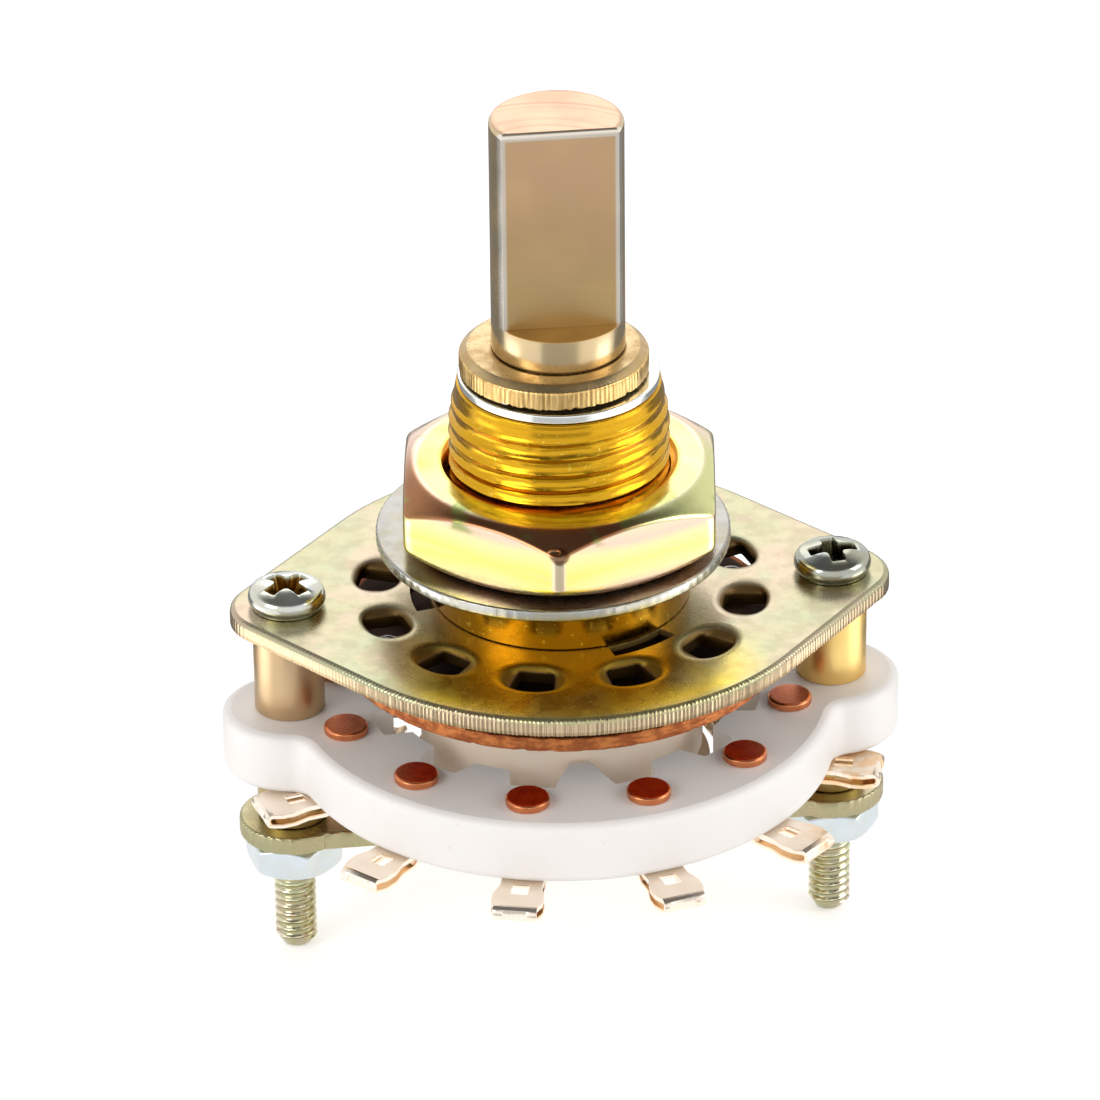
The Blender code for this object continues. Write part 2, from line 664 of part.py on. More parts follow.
def strip_outline(path, thickness):
    """The outline of a bent strip of even thickness, given the line along its middle."""
    left, right = [], []
    for i, (x, y) in enumerate(path):
        before = path[max(i - 1, 0)]
        after = path[min(i + 1, len(path) - 1)]
        dx, dy = after[0] - before[0], after[1] - before[1]
        length = math.hypot(dx, dy)
        nx, ny = -dy / length * thickness / 2, dx / length * thickness / 2
        left.append((x + nx, y + ny))
        right.append((x - nx, y - ny))
    return left + right[::-1]


def clip_path(jaw_reach):
    """Along the folded strip, in radius and height, from the upper jaw round to the lower one."""
    half = STRIP_THICKNESS / 2
    leaf = WAFER_BOTTOM - SEAT_GAP - half
    under = leaf - STRIP_THICKNESS - SEAT_GAP
    jaw_top = BLADE_TOP + STRIP_GAP + half
    jaw_bottom = BLADE_BOTTOM - STRIP_GAP - half
    loop_radius = (LUG_DEPTH - STRIP_THICKNESS) / 2
    centre = (LUG_REACH - half - loop_radius, leaf - loop_radius)
    rivet = RIVET_CIRCLE_RADIUS
    clamp = RIVET_TAIL_DIAMETER / 2 + SEAT_GAP
    jaw_root = BLADE_NOSE_RADIUS + STRIP_THICKNESS
    path = [
        (jaw_reach, jaw_top + JAW_LIP_RISE),
        (jaw_reach + JAW_LIP, jaw_top),
        (jaw_root, jaw_top),
        (rivet - clamp, leaf),
        (rivet + clamp, leaf),
    ]
    path += arc(centre, loop_radius, 90.0, -90.0, 5)
    path += [
        (rivet + clamp + loop_radius * 2, leaf - 2 * loop_radius),
        (rivet + clamp, under),
        (rivet - clamp, under),
        (jaw_root, jaw_bottom),
        (jaw_reach + JAW_LIP, jaw_bottom),
        (jaw_reach, jaw_bottom - JAW_LIP_RISE),
    ]
    return path


def make_clip_mesh(name, jaw_reach, parts, cutters, material):
    """One contact clip, folded from strip, lying along +X."""
    strip = flat_curve(name, [strip_outline(clip_path(jaw_reach), STRIP_THICKNESS)], LUG_WIDTH, parts)
    strip.rotation_euler.x = math.radians(90.0)
    clip = to_mesh(strip, parts, material)

    low_z, high_z = WAFER_BOTTOM - 3 * LUG_DEPTH, WAFER_BOTTOM + LUG_DEPTH
    trim = bmesh.new()
    for side in (-1, 1):
        near, far = side * NECK_WIDTH / 2, side * LUG_WIDTH
        low = (jaw_reach - LUG_WIDTH, min(near, far), low_z)
        corners = box_into(trim, low, (LUG_FLARE_RADIUS, max(near, far), high_z))
        for vert in corners:
            on_neck = abs(vert.co.y) < (NECK_WIDTH + LUG_WIDTH) / 4
            if on_neck and vert.co.x > jaw_reach:
                vert.co.x -= LUG_WIDTH - NECK_WIDTH
    boolean(clip, cutter(name + "_trim", trim, cutters))

    windows = bmesh.new()
    half = LUG_HOLE_WIDTH / 2
    box_into(windows, (LUG_HOLE_SPAN[0], -half, low_z), (LUG_HOLE_SPAN[1], half, high_z))
    half = LUG_NOTCH_WIDTH / 2
    box_into(windows, (LUG_REACH - LUG_NOTCH_DEPTH, -half, low_z), (LUG_REACH + LUG_DEPTH, half, high_z))
    boolean(clip, cutter(name + "_windows", windows, cutters))

    hole = bmesh.new()
    radius = RIVET_SHANK_DIAMETER / 2 + FIT_GAP
    bmesh.ops.create_cone(
        hole, cap_ends=True, segments=RIVET_STEPS, radius1=radius, radius2=radius, depth=high_z - low_z
    )
    middle = (RIVET_CIRCLE_RADIUS, 0.0, (low_z + high_z) / 2)
    bmesh.ops.translate(hole, verts=hole.verts, vec=middle)
    boolean(clip, cutter(name + "_hole", hole, cutters))
    return to_mesh(clip, parts, material)


def make_contact_clips(parts, cutters, material):
    pattern = make_clip_mesh("contact_clip", JAW_REACH, parts, cutters, material)
    common = make_clip_mesh("common_clip", COMMON_JAW_REACH, parts, cutters, material)
    for i in range(POSITIONS):
        source = common if i == COMMON_POSITION else pattern
        clip = bpy.data.objects.new("contact_clip_%02d" % (i + 1), source.data)
        clip.rotation_euler.z = math.radians(position_angle(i))
        parts.objects.link(clip)
    bpy.data.objects.remove(pattern)
    bpy.data.objects.remove(common)


def make_rivets(parts, material):
    head = RIVET_HEAD_DIAMETER / 2
    shank = RIVET_SHANK_DIAMETER / 2
    tail = RIVET_TAIL_DIAMETER / 2
    seat = WAFER_TOP + SEAT_GAP
    top = seat + RIVET_HEAD_HEIGHT
    tail_top = WAFER_BOTTOM - 2 * STRIP_THICKNESS - 3 * SEAT_GAP
    tail_end = tail_top - RIVET_TAIL_HEIGHT
    profile = [
        (0.0, top),
        (head - RIVET_EDGE, top),
        (head, top - RIVET_EDGE),
        (head, seat),
        (shank, seat),
        (shank, tail_top),
        (tail, tail_top),
        (tail - RIVET_EDGE, tail_end),
        (0.0, tail_end),
    ]
    for i in range(POSITIONS):
        rivet = turned("rivet_%02d" % (i + 1), profile, parts, material, RIVET_STEPS, closed=False)
        x, y = polar(RIVET_CIRCLE_RADIUS, position_angle(i))
        rivet.location.x, rivet.location.y = x, y


def make_rear_strap(parts, material):
    """A flat bar with round ends on the screws, and a hole for the end of the spindle."""
    half = STRAP_WIDTH / 2
    lean = math.degrees(math.asin(half / STRAP_END_RADIUS))
    middle_radius = STRAP_HOLE_DIAMETER / 2 + STRAP_RIM
    meet = math.degrees(math.asin(half / middle_radius))
    outline = arc((HALF_SPACING, 0.0), STRAP_END_RADIUS, lean - 180.0, 180.0 - lean, 13)
    outline += arc((0.0, 0.0), middle_radius, meet, 180.0 - meet, 9)
    outline += [(-x, -y) for x, y in outline]
    loops = [outline]
    loops.append(circle((0.0, 0.0), STRAP_HOLE_DIAMETER / 2, SMALL_STEPS))
    for _, x in screw_places():
        loops.append(circle((x, 0.0), SCREW_DIAMETER / 2 + FIT_GAP, SMALL_STEPS))
    stamped("rear_strap", loops, STRAP_TOP, STRAP_THICKNESS, parts, material)


def main():
    clear_scene()
    parts = new_collection("rotary_wafer_switch")
    cutters = new_collection("cutters")

    brass = make_material("tumbled_brass", (0.70, 0.58, 0.36), 0.32, 1.0)
    gold_brass = make_material("bright_brass", (0.86, 0.62, 0.16), 0.22, 1.0)
    chromate = make_material("yellow_zinc", (0.80, 0.76, 0.52), 0.28, 1.0)
    zinc = make_material("white_zinc", (0.78, 0.79, 0.80), 0.22, 1.0)
    steel = make_material("spring_steel", (0.62, 0.62, 0.62), 0.25, 1.0)
    copper = make_material("copper", (0.72, 0.28, 0.14), 0.30, 1.0)
    ceramic = make_material("white_ceramic", (0.90, 0.86, 0.82), 0.45, 0.0)
    tinned = make_material("tinned_strip", (0.88, 0.78, 0.66), 0.25, 1.0)
    silver = make_material("silvered_blade", (0.86, 0.85, 0.82), 0.25, 1.0)

    make_shaft(parts, cutters, brass)
    make_retaining_clip(parts, cutters, brass)
    make_shaft_washer(parts, zinc)
    make_bushing(parts, gold_brass)
    make_panel_hardware(parts, cutters, chromate, zinc)

    make_index_plate(parts, chromate)
    make_index_disc(parts, copper)
    make_balls(parts, steel)
    make_leaf_spring(parts, steel)

    make_stator(parts, ceramic)
    make_rotor(parts, cutters, ceramic)
    make_rotor_contact(parts, silver)
    make_contact_clips(parts, cutters, tinned)
    make_rivets(parts, copper)

    make_rear_strap(parts, chromate)
    upper_top = PLATE_BOTTOM - SEAT_GAP
    lower_top = WAFER_BOTTOM - SEAT_GAP
    for side, x in screw_places():
        make_screw(side, x, parts, cutters, zinc)
        make_spacer("upper_spacer_" + side, x, upper_top, UPPER_SPACER_LENGTH, parts, brass)
        make_spacer("lower_spacer_" + side, x, lower_top, LOWER_SPACER_LENGTH, parts, gold_brass)
        make_screw_nut(side, x, parts, cutters, zinc)

    for obj in parts.objects:
        shade(obj)


main()
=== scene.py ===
"""Looks of the rotary wafer switch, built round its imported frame.

Lengths are in metres, angles in degrees and colours in linear light. +Z runs up the shaft, the
origin is the middle of the panel seat, and the camera looks from the front, a little above.
"""

import math

import bmesh
import bpy
from bpy.props import FloatProperty, FloatVectorProperty, PointerProperty
from mathutils import Matrix, Vector


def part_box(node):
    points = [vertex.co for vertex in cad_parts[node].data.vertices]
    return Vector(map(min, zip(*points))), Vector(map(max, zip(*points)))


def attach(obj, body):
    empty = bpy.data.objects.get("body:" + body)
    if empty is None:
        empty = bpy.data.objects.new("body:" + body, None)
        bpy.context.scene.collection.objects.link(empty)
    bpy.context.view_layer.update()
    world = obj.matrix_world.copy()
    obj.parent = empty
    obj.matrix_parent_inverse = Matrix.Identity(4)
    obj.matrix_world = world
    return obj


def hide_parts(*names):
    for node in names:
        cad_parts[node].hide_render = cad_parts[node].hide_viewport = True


bl_info = {
    "name": "Rotary wafer switch",
    "version": (1, 0, 0),
    "blender": (4, 5, 0),
    "location": "3D View > Sidebar > Switch",
    "description": "Builds the visible pieces of a rotary wafer switch round its packed frame",
    "category": "Object",
}

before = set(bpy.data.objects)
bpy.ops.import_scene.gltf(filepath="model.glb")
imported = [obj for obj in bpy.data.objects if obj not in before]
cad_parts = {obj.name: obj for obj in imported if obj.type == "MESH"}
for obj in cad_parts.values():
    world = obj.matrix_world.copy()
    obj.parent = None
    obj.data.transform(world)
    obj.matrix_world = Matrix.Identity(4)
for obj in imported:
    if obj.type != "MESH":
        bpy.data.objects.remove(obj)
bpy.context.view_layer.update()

MM = 0.001
MERGE = 0.4e-6
POSITIONS = 12
FIRST_ANGLE = 15.0
STEP_ANGLE = 360.0 / POSITIONS
COMMON_POSITION = 3
RIVET_CIRCLE = 10.5 * MM
POCKET_CIRCLE = 8.4 * MM
FIXED = "frame"
TURNING = "shaft_group"
SIDES = ("left", "right")
GAP = 0.02 * MM
TUBE_BORE = 1.02 * MM
RIVET_BORE = 0.65 * MM
SPIGOT_BORE = 2.35 * MM
LEVEL_NORMAL = 0.99999
AXIS = (0.0, 0.0)
WHITE = (1.0, 1.0, 1.0)
STRIP = 0.22 * MM
LUG_REACH = 14.8 * MM
LONG_TEETH = (2, 8)


def low(node):
    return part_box(node)[0]


def high(node):
    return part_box(node)[1]


def middle(node):
    return (low(node) + high(node)) / 2


def levels(node, unit=1.0):
    """The top and the bottom of a node, in metres or in another unit."""
    return high(node).z / unit, low(node).z / unit


def half_width(node, unit=1.0):
    return (high(node).x - low(node).x) / 2 / unit


def studs():
    """The middle of each screw, from left to right."""
    return [middle("screw_" + side).x for side in SIDES]


def numbered(stem):
    return ["%s_%02d" % (stem, i + 1) for i in range(POSITIONS)]


def size(name, value, description):
    """A length given in millimetres and kept in metres."""
    return FloatProperty(
        name=name, description=description, default=value * MM, unit="LENGTH", precision=5
    )


def angle(name, value, description):
    """A turn given in degrees and kept in radians."""
    return FloatProperty(
        name=name, description=description, default=math.radians(value), subtype="ANGLE"
    )


def amount(name, value, description):
    return FloatProperty(name=name, description=description, default=value, min=0.0)


def tint(name, value, description):
    return FloatVectorProperty(
        name=name, description=description, default=value, subtype="COLOR", min=0.0, max=1.0
    )


class ShaftSettings(bpy.types.PropertyGroup):
    diameter: size("Diameter", 6.0, "Diameter of the shaft")
    across_flat: size("Across the flat", 4.5, "From the flat to the round side behind it")
    flat_length: size("Flat length", 9.6, "Length of the flat, down to its ledge")
    end_round: size("End rounding", 0.28, "Rounding of the shaft's end")
    edge_round: size("Edge rounding", 0.22, "Rounding of the flat's long edges")
    clip_mouth: size("Clip mouth", 4.4, "Opening of the retaining clip")
    clip_shift: size("Clip shift", 0.2, "How far the clip's rim sits off the axis")
    plain: tint("Satin brass", (0.66, 0.49, 0.27), "Colour of the shaft and its clip")
    end_face: tint("End face", (0.72, 0.50, 0.34), "Bare copper tone of the sawn end")


class BushingSettings(bpy.types.PropertyGroup):
    thread: size("Thread diameter", 9.96, "Diameter over the thread")
    pitch: size("Thread pitch", 0.75, "Distance from one thread groove to the next")
    depth: size("Thread depth", 0.19, "Depth of the thread grooves")
    lead_in: size("Lead-in", 1.9, "Length of the tapered start of the thread")
    taper: size("Taper", 0.36, "How much narrower the thread is at its start")
    bright: tint("Bright brass", (0.67, 0.36, 0.017), "Colour of the bushing")


class NutSettings(bpy.types.PropertyGroup):
    across_flats: size("Across flats", 14.0, "Width of the panel nut")
    face: size("Face diameter", 13.2, "Where the chamfers meet the nut's faces")
    turn: angle("Turn", -7.0, "How far the panel nut is turned")
    straw: tint("Straw", (0.97, 0.83, 0.24), "Main colour of the yellow chromate")
    rose: tint("Rose", (0.96, 0.66, 0.52), "Pink bands of the yellow chromate")
    mint: tint("Mint", (0.66, 0.80, 0.50), "Green patches of the yellow chromate")
    blue_zinc: tint("Blue zinc", (0.74, 0.78, 0.80), "Colour of the washers and small nuts")


class PlateSettings(bpy.types.PropertyGroup):
    edge_round: size("Edge rounding", 0.26, "Rounding of the stamped edge")
    shear_depth: size("Shear marks", 0.03, "Depth of the marks on the sheared edge")
    shear_pitch: size("Shear pitch", 0.2, "Usual distance between shear marks")
    champagne: tint("Champagne", (0.49, 0.445, 0.32), "Colour of the index plate")
    # Ochre paints the gold reflection on the plate's front and the shade in its pockets and holes.
    ochre: tint("Ochre", (0.66, 0.47, 0.13), "Deeper patches of the index plate")
    copper: tint("Copper", (0.72, 0.27, 0.12), "Colour of the rivets")
    # Besides the dark marks, this paints the near-black shade on the disc's face.
    oxide_and_shade: tint("Oxide", (0.30, 0.08, 0.03), "Dark marks on the copper disc")


class ScrewSettings(bpy.types.PropertyGroup):
    screw: size("Screw diameter", 1.95, "Diameter of the two long screws")
    left_turn: angle("Left cross turn", 38.0, "Turn of the cross in the left screw's head")
    right_turn: angle("Right cross turn", 8.0, "Turn of the cross in the right screw's head")
    left_nut: angle("Left nut turn", 11.5, "Turn of the nut on the left screw")
    right_nut: angle("Right nut turn", 25.5, "Turn of the nut on the right screw")


class WaferSettings(bpy.types.PropertyGroup):
    edge_round: size("Edge rounding", 0.42, "Rounding of the wafer's outer edge")
    tooth_round: size("Tooth rounding", 0.07, "Rounding of the teeth round the bore")
    ceramic: tint("Ceramic", (0.91, 0.875, 0.845), "Colour of the wafer")
    strip: tint("Contact strip", (0.97, 0.87, 0.75), "Colour of the solder lugs")
    strip_inside: tint("Inside the lugs", (0.80, 0.45, 0.16), "Deeper tone in the folds")


class StudioSettings(bpy.types.PropertyGroup):
    distance: size("Camera distance", 341.4, "From the panel seat to the camera")
    elevation: angle("Elevation", 28.78, "Height of the camera above the horizon")
    azimuth: angle("Azimuth", -6.49, "Turn of the camera round the shaft")
    roll: angle("Roll", -0.54, "Lean of the camera")
    floor: tint("Floor", (0.93, 0.93, 0.93), "Colour of the floor")
    walls: amount("Walls", 1.0, "Light from all round")
    ceiling: amount("Ceiling", 0.15, "Tone of the shade overhead")
    shade_start: amount("Shade start", 0.55, "Height where it darkens")
    shade_end: amount("Shade end", 0.85, "Height where it is darkest")
    card: amount("Card", 0.52, "Tone of the card before the object")
    side_cards: amount("Side cards", 2.8, "Tone of the cards beside it")
    dim_cards: amount("Rear cards", 0.23, "Tone of the cards behind it")
    fill: amount("Fill", 0.12, "Extra light on dull surfaces")
    glow: amount("Glow", 0.36, "How much the floor glows")
    lamp: amount("Lamps", 1.3, "Power of the main soft lamp")


class Value:
    """An output socket of a node tree, which can be used in sums."""

    def __init__(self, tree, socket):
        self.tree = tree
        self.socket = socket

    def math(self, operation, *others):
        return Net(self.tree).add("ShaderNodeMath", [self, *others], operation=operation)

    def __add__(self, other):
        return self.math("ADD", other)

    __radd__ = __add__

    def __sub__(self, other):
        return self.math("SUBTRACT", other)

    def __rsub__(self, other):
        return Net(self.tree).add("ShaderNodeMath", [other, self], operation="SUBTRACT")

    def __mul__(self, other):
        return self.math("MULTIPLY", other)

    __rmul__ = __mul__

    def __truediv__(self, other):
        return self.math("DIVIDE", other)

    def __pow__(self, other):
        return self.math("POWER", other)

    def __abs__(self):
        return self.math("ABSOLUTE")

    def step(self, start, end, first=0.0, last=1.0):
        """Goes smoothly from first to last as the value goes from start to end."""
        return Net(self.tree).add(
            "ShaderNodeMapRange", [self, start, end, first, last], interpolation_type="SMOOTHSTEP"
        )

    def fraction(self):
        return self.math("FRACT")

    def lower(self, other):
        return self.math("MINIMUM", other)

    def upper(self, other):
        return self.math("MAXIMUM", other)


class Net:
    """Adds nodes to a tree: a node's settings, then the values or links of its sockets."""

    def __init__(self, tree):
        self.tree = tree

    def add(self, kind, inputs=(), output=0, **settings):
        node = self.tree.nodes.new(kind)
        for key, value in settings.items():
            setattr(node, key, value)
        pairs = inputs.items() if isinstance(inputs, dict) else enumerate(inputs)
        for key, value in pairs:
            if isinstance(value, Value):
                self.tree.links.new(value.socket, node.inputs[key])
            elif value is not None:
                node.inputs[key].default_value = value
        return Value(self.tree, node.outputs[output])

    def ramp(self, value, *stops):
        """Colours along a value. Each stop is a place and a colour."""
        ramp = self.add("ShaderNodeValToRGB", [value])
        elements = ramp.socket.node.color_ramp.elements
        for _ in stops[2:]:
            elements.new(0.5)
        for element, (position, rgb) in zip(elements, stops):
            element.position, element.color = position, rgba(rgb)
        return ramp

    def vector(self, operation, *inputs, output=0):
        return self.add("ShaderNodeVectorMath", inputs, output, operation=operation)

    def scaled(self, vector, factor):
        return self.add("ShaderNodeVectorMath", {0: vector, "Scale": factor}, operation="SCALE")

    def combined(self, *parts):
        return self.add("ShaderNodeCombineXYZ", parts)

    def axes(self, vector):
        node = self.add("ShaderNodeSeparateXYZ", [vector]).socket.node
        return [Value(self.tree, socket) for socket in node.outputs]

    def mix(self, factor, first, second, blend="MIX"):
        inputs = {0: factor, 6: rgba(first), 7: rgba(second)}
        return self.add("ShaderNodeMix", inputs, 2, data_type="RGBA", blend_type=blend)

    def rays(self, *kinds):
        """One on rays of the kinds that are named, and zero on others."""
        path = self.add("ShaderNodeLightPath").socket.node.outputs
        seen, *others = (Value(self.tree, path["Is %s Ray" % kind]) for kind in kinds)
        for other in others:
            seen = seen.upper(other)
        return seen

    def noise(self, vector, scale, detail=2.0, roughness=0.5):
        inputs = {"Vector": vector, "Scale": scale, "Detail": detail, "Roughness": roughness}
        return self.add("ShaderNodeTexNoise", inputs)


def rgba(value):
    return value if isinstance(value, Value) else (*value[:3], 1.0)


def toned(rgb, red, green, blue):
    return [min(1.0, c * k) for c, k in zip(rgb, (red, green, blue))]


class Finish(Net):
    """A material. Its patterns read object coordinates in millimetres."""

    def __init__(self, name):
        self.material = bpy.data.materials.new(name)
        self.material.use_nodes = True
        super().__init__(self.material.node_tree)
        self.shader = self.tree.nodes["Principled BSDF"]
        self.place = self.scaled(self.add("ShaderNodeTexCoord", output="Object"), 1.0 / MM)
        self.x, self.y, self.z = self.axes(self.place)
        self.radius = (self.x * self.x + self.y * self.y) ** 0.5
        self.base = None

    def coat(self, factor, colour, *tone):
        """Lays a colour over the base where the factor is above zero."""
        self.base = self.mix(factor, self.base, toned(colour, *tone) if tone else colour)

    def grain(self, scale, detail=2.0, roughness=0.5):
        return self.noise(self.place, scale, detail, roughness)

    def streaks(self, across, along, detail=3.0, roughness=0.5):
        """Noise with its own scale across the XY plane and along Z."""
        stretched = self.vector("MULTIPLY", self.place, (across, across, along))
        return self.noise(stretched, 1.0, detail, roughness)

    def made(self, roughness, height=None, depth=0.0, metallic=1.0, **others):
        """Fills the shader. The height, from 0 to 1, stands for a depth in millimetres."""
        others.update(Base_Color=self.base, Roughness=roughness, Metallic=metallic)
        if height is not None:
            inputs = {"Strength": 1.0, "Distance": depth * MM, "Height": height}
            others["Normal"] = self.add("ShaderNodeBump", inputs)
        for key, value in others.items():
            socket = self.shader.inputs[key.replace("_", " ")]
            if isinstance(value, Value):
                self.tree.links.new(value.socket, socket)
            else:
                socket.default_value = value if isinstance(value, float) else rgba(value)
        return self.material


def shaft_brass(settings):
    """Drawn brass with a bare sawn end. The flat is painted tan and the round sides paler and greyer as
    painted reflection, with painted shade towards the ledge and painted highlights towards the top and
    along the flat's edges.
    """
    f = Finish("shaft_brass")
    plain, radius, top = settings.plain, settings.diameter / 2 / MM, high("shaft").z / MM
    face, ledge = radius - settings.across_flat / MM, top - settings.flat_length / MM
    mottle = f.grain(0.45, 3.0).step(0.35, 0.68)
    lines = f.streaks(0.12, 9.0)
    flat = f.y.step(face + 0.04, face + 0.01) * f.z.step(ledge - 0.1, ledge)
    # Painted reflection: the round sides take this paler, greyer brass and the flat a tan copy of it.
    pale = toned(plain, 0.98, 1.04, 1.12)
    f.base = f.mix(mottle * 0.4, pale, toned(pale, 1.05, 0.95, 0.82))
    tan = f.mix(mottle * 0.4, toned(plain, 1.08, 0.97, 0.95), toned(plain, 1.0, 0.92, 0.78))
    # Painted shade: the flat darkens towards its ledge.
    tan = f.mix(f.z.step(ledge + 5.6, ledge + 0.2) * 0.6, tan, toned(plain, 0.86, 0.84, 0.62))
    # Painted highlight: the flat lightens towards the top.
    tan = f.mix(f.z.step(top - 5.0, top - 1.5) * 0.6, tan, toned(plain, 1.32, 1.16, 1.25))
    tan = f.mix(lines.step(0.52, 0.75) * 0.3, tan, toned(plain, 1.2, 1.1, 1.0))
    f.coat(flat, tan)
    shelf = f.z.step(ledge + 0.03, ledge + 0.01) * f.z.step(ledge - 0.10, ledge - 0.04)
    shelf = shelf * f.radius.step(radius - 0.06, radius - 0.12)
    f.coat(shelf * lines.step(0.3, 0.7), plain, 0.42, 0.36, 0.2)
    end = f.z.step(top - 0.07, top - 0.01)
    reach = f.vector("DISTANCE", f.place, (-0.9, -4.2, top), output="Value")
    rings = f.noise(f.combined(reach, 0.0, 0.0), 3.2, 2.0)
    f.coat(end, settings.end_face)
    f.coat(end * rings.step(0.48, 0.66) * 0.8, settings.end_face, 0.9, 0.72, 0.66)
    # Painted highlight: a silvery band along the flat's long edges and its top edge.
    painted_edge_highlight = abs(f.x).step(2.38, 2.48) * f.y.step(face + 0.45, face + 0.2)
    painted_edge_highlight = painted_edge_highlight.upper(f.y.step(face + 0.3, face + 0.1) * f.z.step(top - 0.4, top - 0.3))
    painted_edge_highlight = painted_edge_highlight * (1.0 - end) * f.z.step(ledge - 0.1, ledge + 0.1)
    f.coat(painted_edge_highlight * 0.8, plain, 1.36, 1.75, 2.9)
    rough = 0.20 + 0.08 * mottle + 0.10 * flat + 0.14 * end
    height = lines * (1.0 - end) + rings * end * 2.0
    return f.made(rough, height, 0.003)


def clip_brass(settings):
    """Tumbled brass with a sheared edge."""
    f = Finish("clip_brass")
    plain = toned(settings.plain, 0.92, 0.92, 0.86)
    mottle = f.grain(1.1, 4.0).step(0.38, 0.66)
    pits = f.grain(7.0, 2.0).step(0.62, 0.72)
    off_centre = f.x + settings.clip_shift / MM
    outer = half_width("retaining_clip", MM)
    side = ((off_centre * off_centre + f.y * f.y) ** 0.5).step(outer - 0.08, outer - 0.04)
    streak = f.streaks(7.0, 0.5)
    f.base = f.mix(mottle * 0.55, plain, toned(plain, 0.86, 0.72, 0.52))
    f.coat(pits * 0.45, plain, 0.5, 0.38, 0.25)
    dull, bright = toned(plain, 0.95, 0.80, 0.55), toned(plain, 1.5, 1.4, 1.1)
    f.coat(side, f.mix(streak.step(0.35, 0.65), dull, bright))
    grey = f.grain(0.62, 2.0).step(0.60, 0.64) * side
    f.coat(grey * 0.8, (0.72, 0.70, 0.64))
    height = mottle * 0.4 - pits * 0.5 + side * streak * 2.0
    return f.made(0.26 + 0.14 * mottle, height, 0.01)


def bushing_brass(settings):
    """Bright turned brass, with small flecks on the collar. Its pale patches are partly wear and partly
    painted highlight, and the collar is painted darker as painted shade.
    """
    f = Finish("bushing_brass")
    bright = settings.bright
    turned = f.streaks(0.15, 6.0)
    flecks = f.grain(4.5, 2.0).step(0.66, 0.70)
    worn = f.grain(1.6, 3.0).step(0.45, 0.75)
    # Pale patches, partly wear and partly painted highlight.
    f.base = f.mix(worn * 0.35, bright, toned(bright, 1.05, 1.12, 1.6))
    # Painted shade: the collar below the panel seat is painted darker.
    collar = f.z.step(0.2, -0.2)
    f.coat(collar, bright, 0.54, 0.50, 0.6)
    f.coat(flecks * 0.6, bright, 1.1, 1.5, 5.0)
    rough = 0.15 + 0.10 * turned + 0.10 * worn
    return f.made(rough, turned + flecks * 0.7, 0.005)


def spacer_brass(name, plain, drifts):
    """Satin tube brass. Where it drifts, it is beige on the left and golden on the right."""
    f = Finish(name)
    mottle = f.grain(0.5, 4.0).step(0.4, 0.66)
    beige = f.mix(mottle * 0.5, toned(plain, 0.92, 0.90, 0.95), toned(plain, 0.95, 0.80, 0.74))
    golden = f.mix(mottle * 0.5, toned(plain, 1.38, 1.32, 0.88), toned(plain, 1.3, 1.12, 0.66))
    if drifts:
        f.base = f.mix(f.x.step(-2.0, 2.0), beige, golden)
    else:
        f.base = f.mix(mottle * 0.4, plain, golden)
    lines = f.streaks(3.0, 0.25)
    return f.made(0.30 + 0.08 * mottle, lines + mottle * 0.4, 0.006)


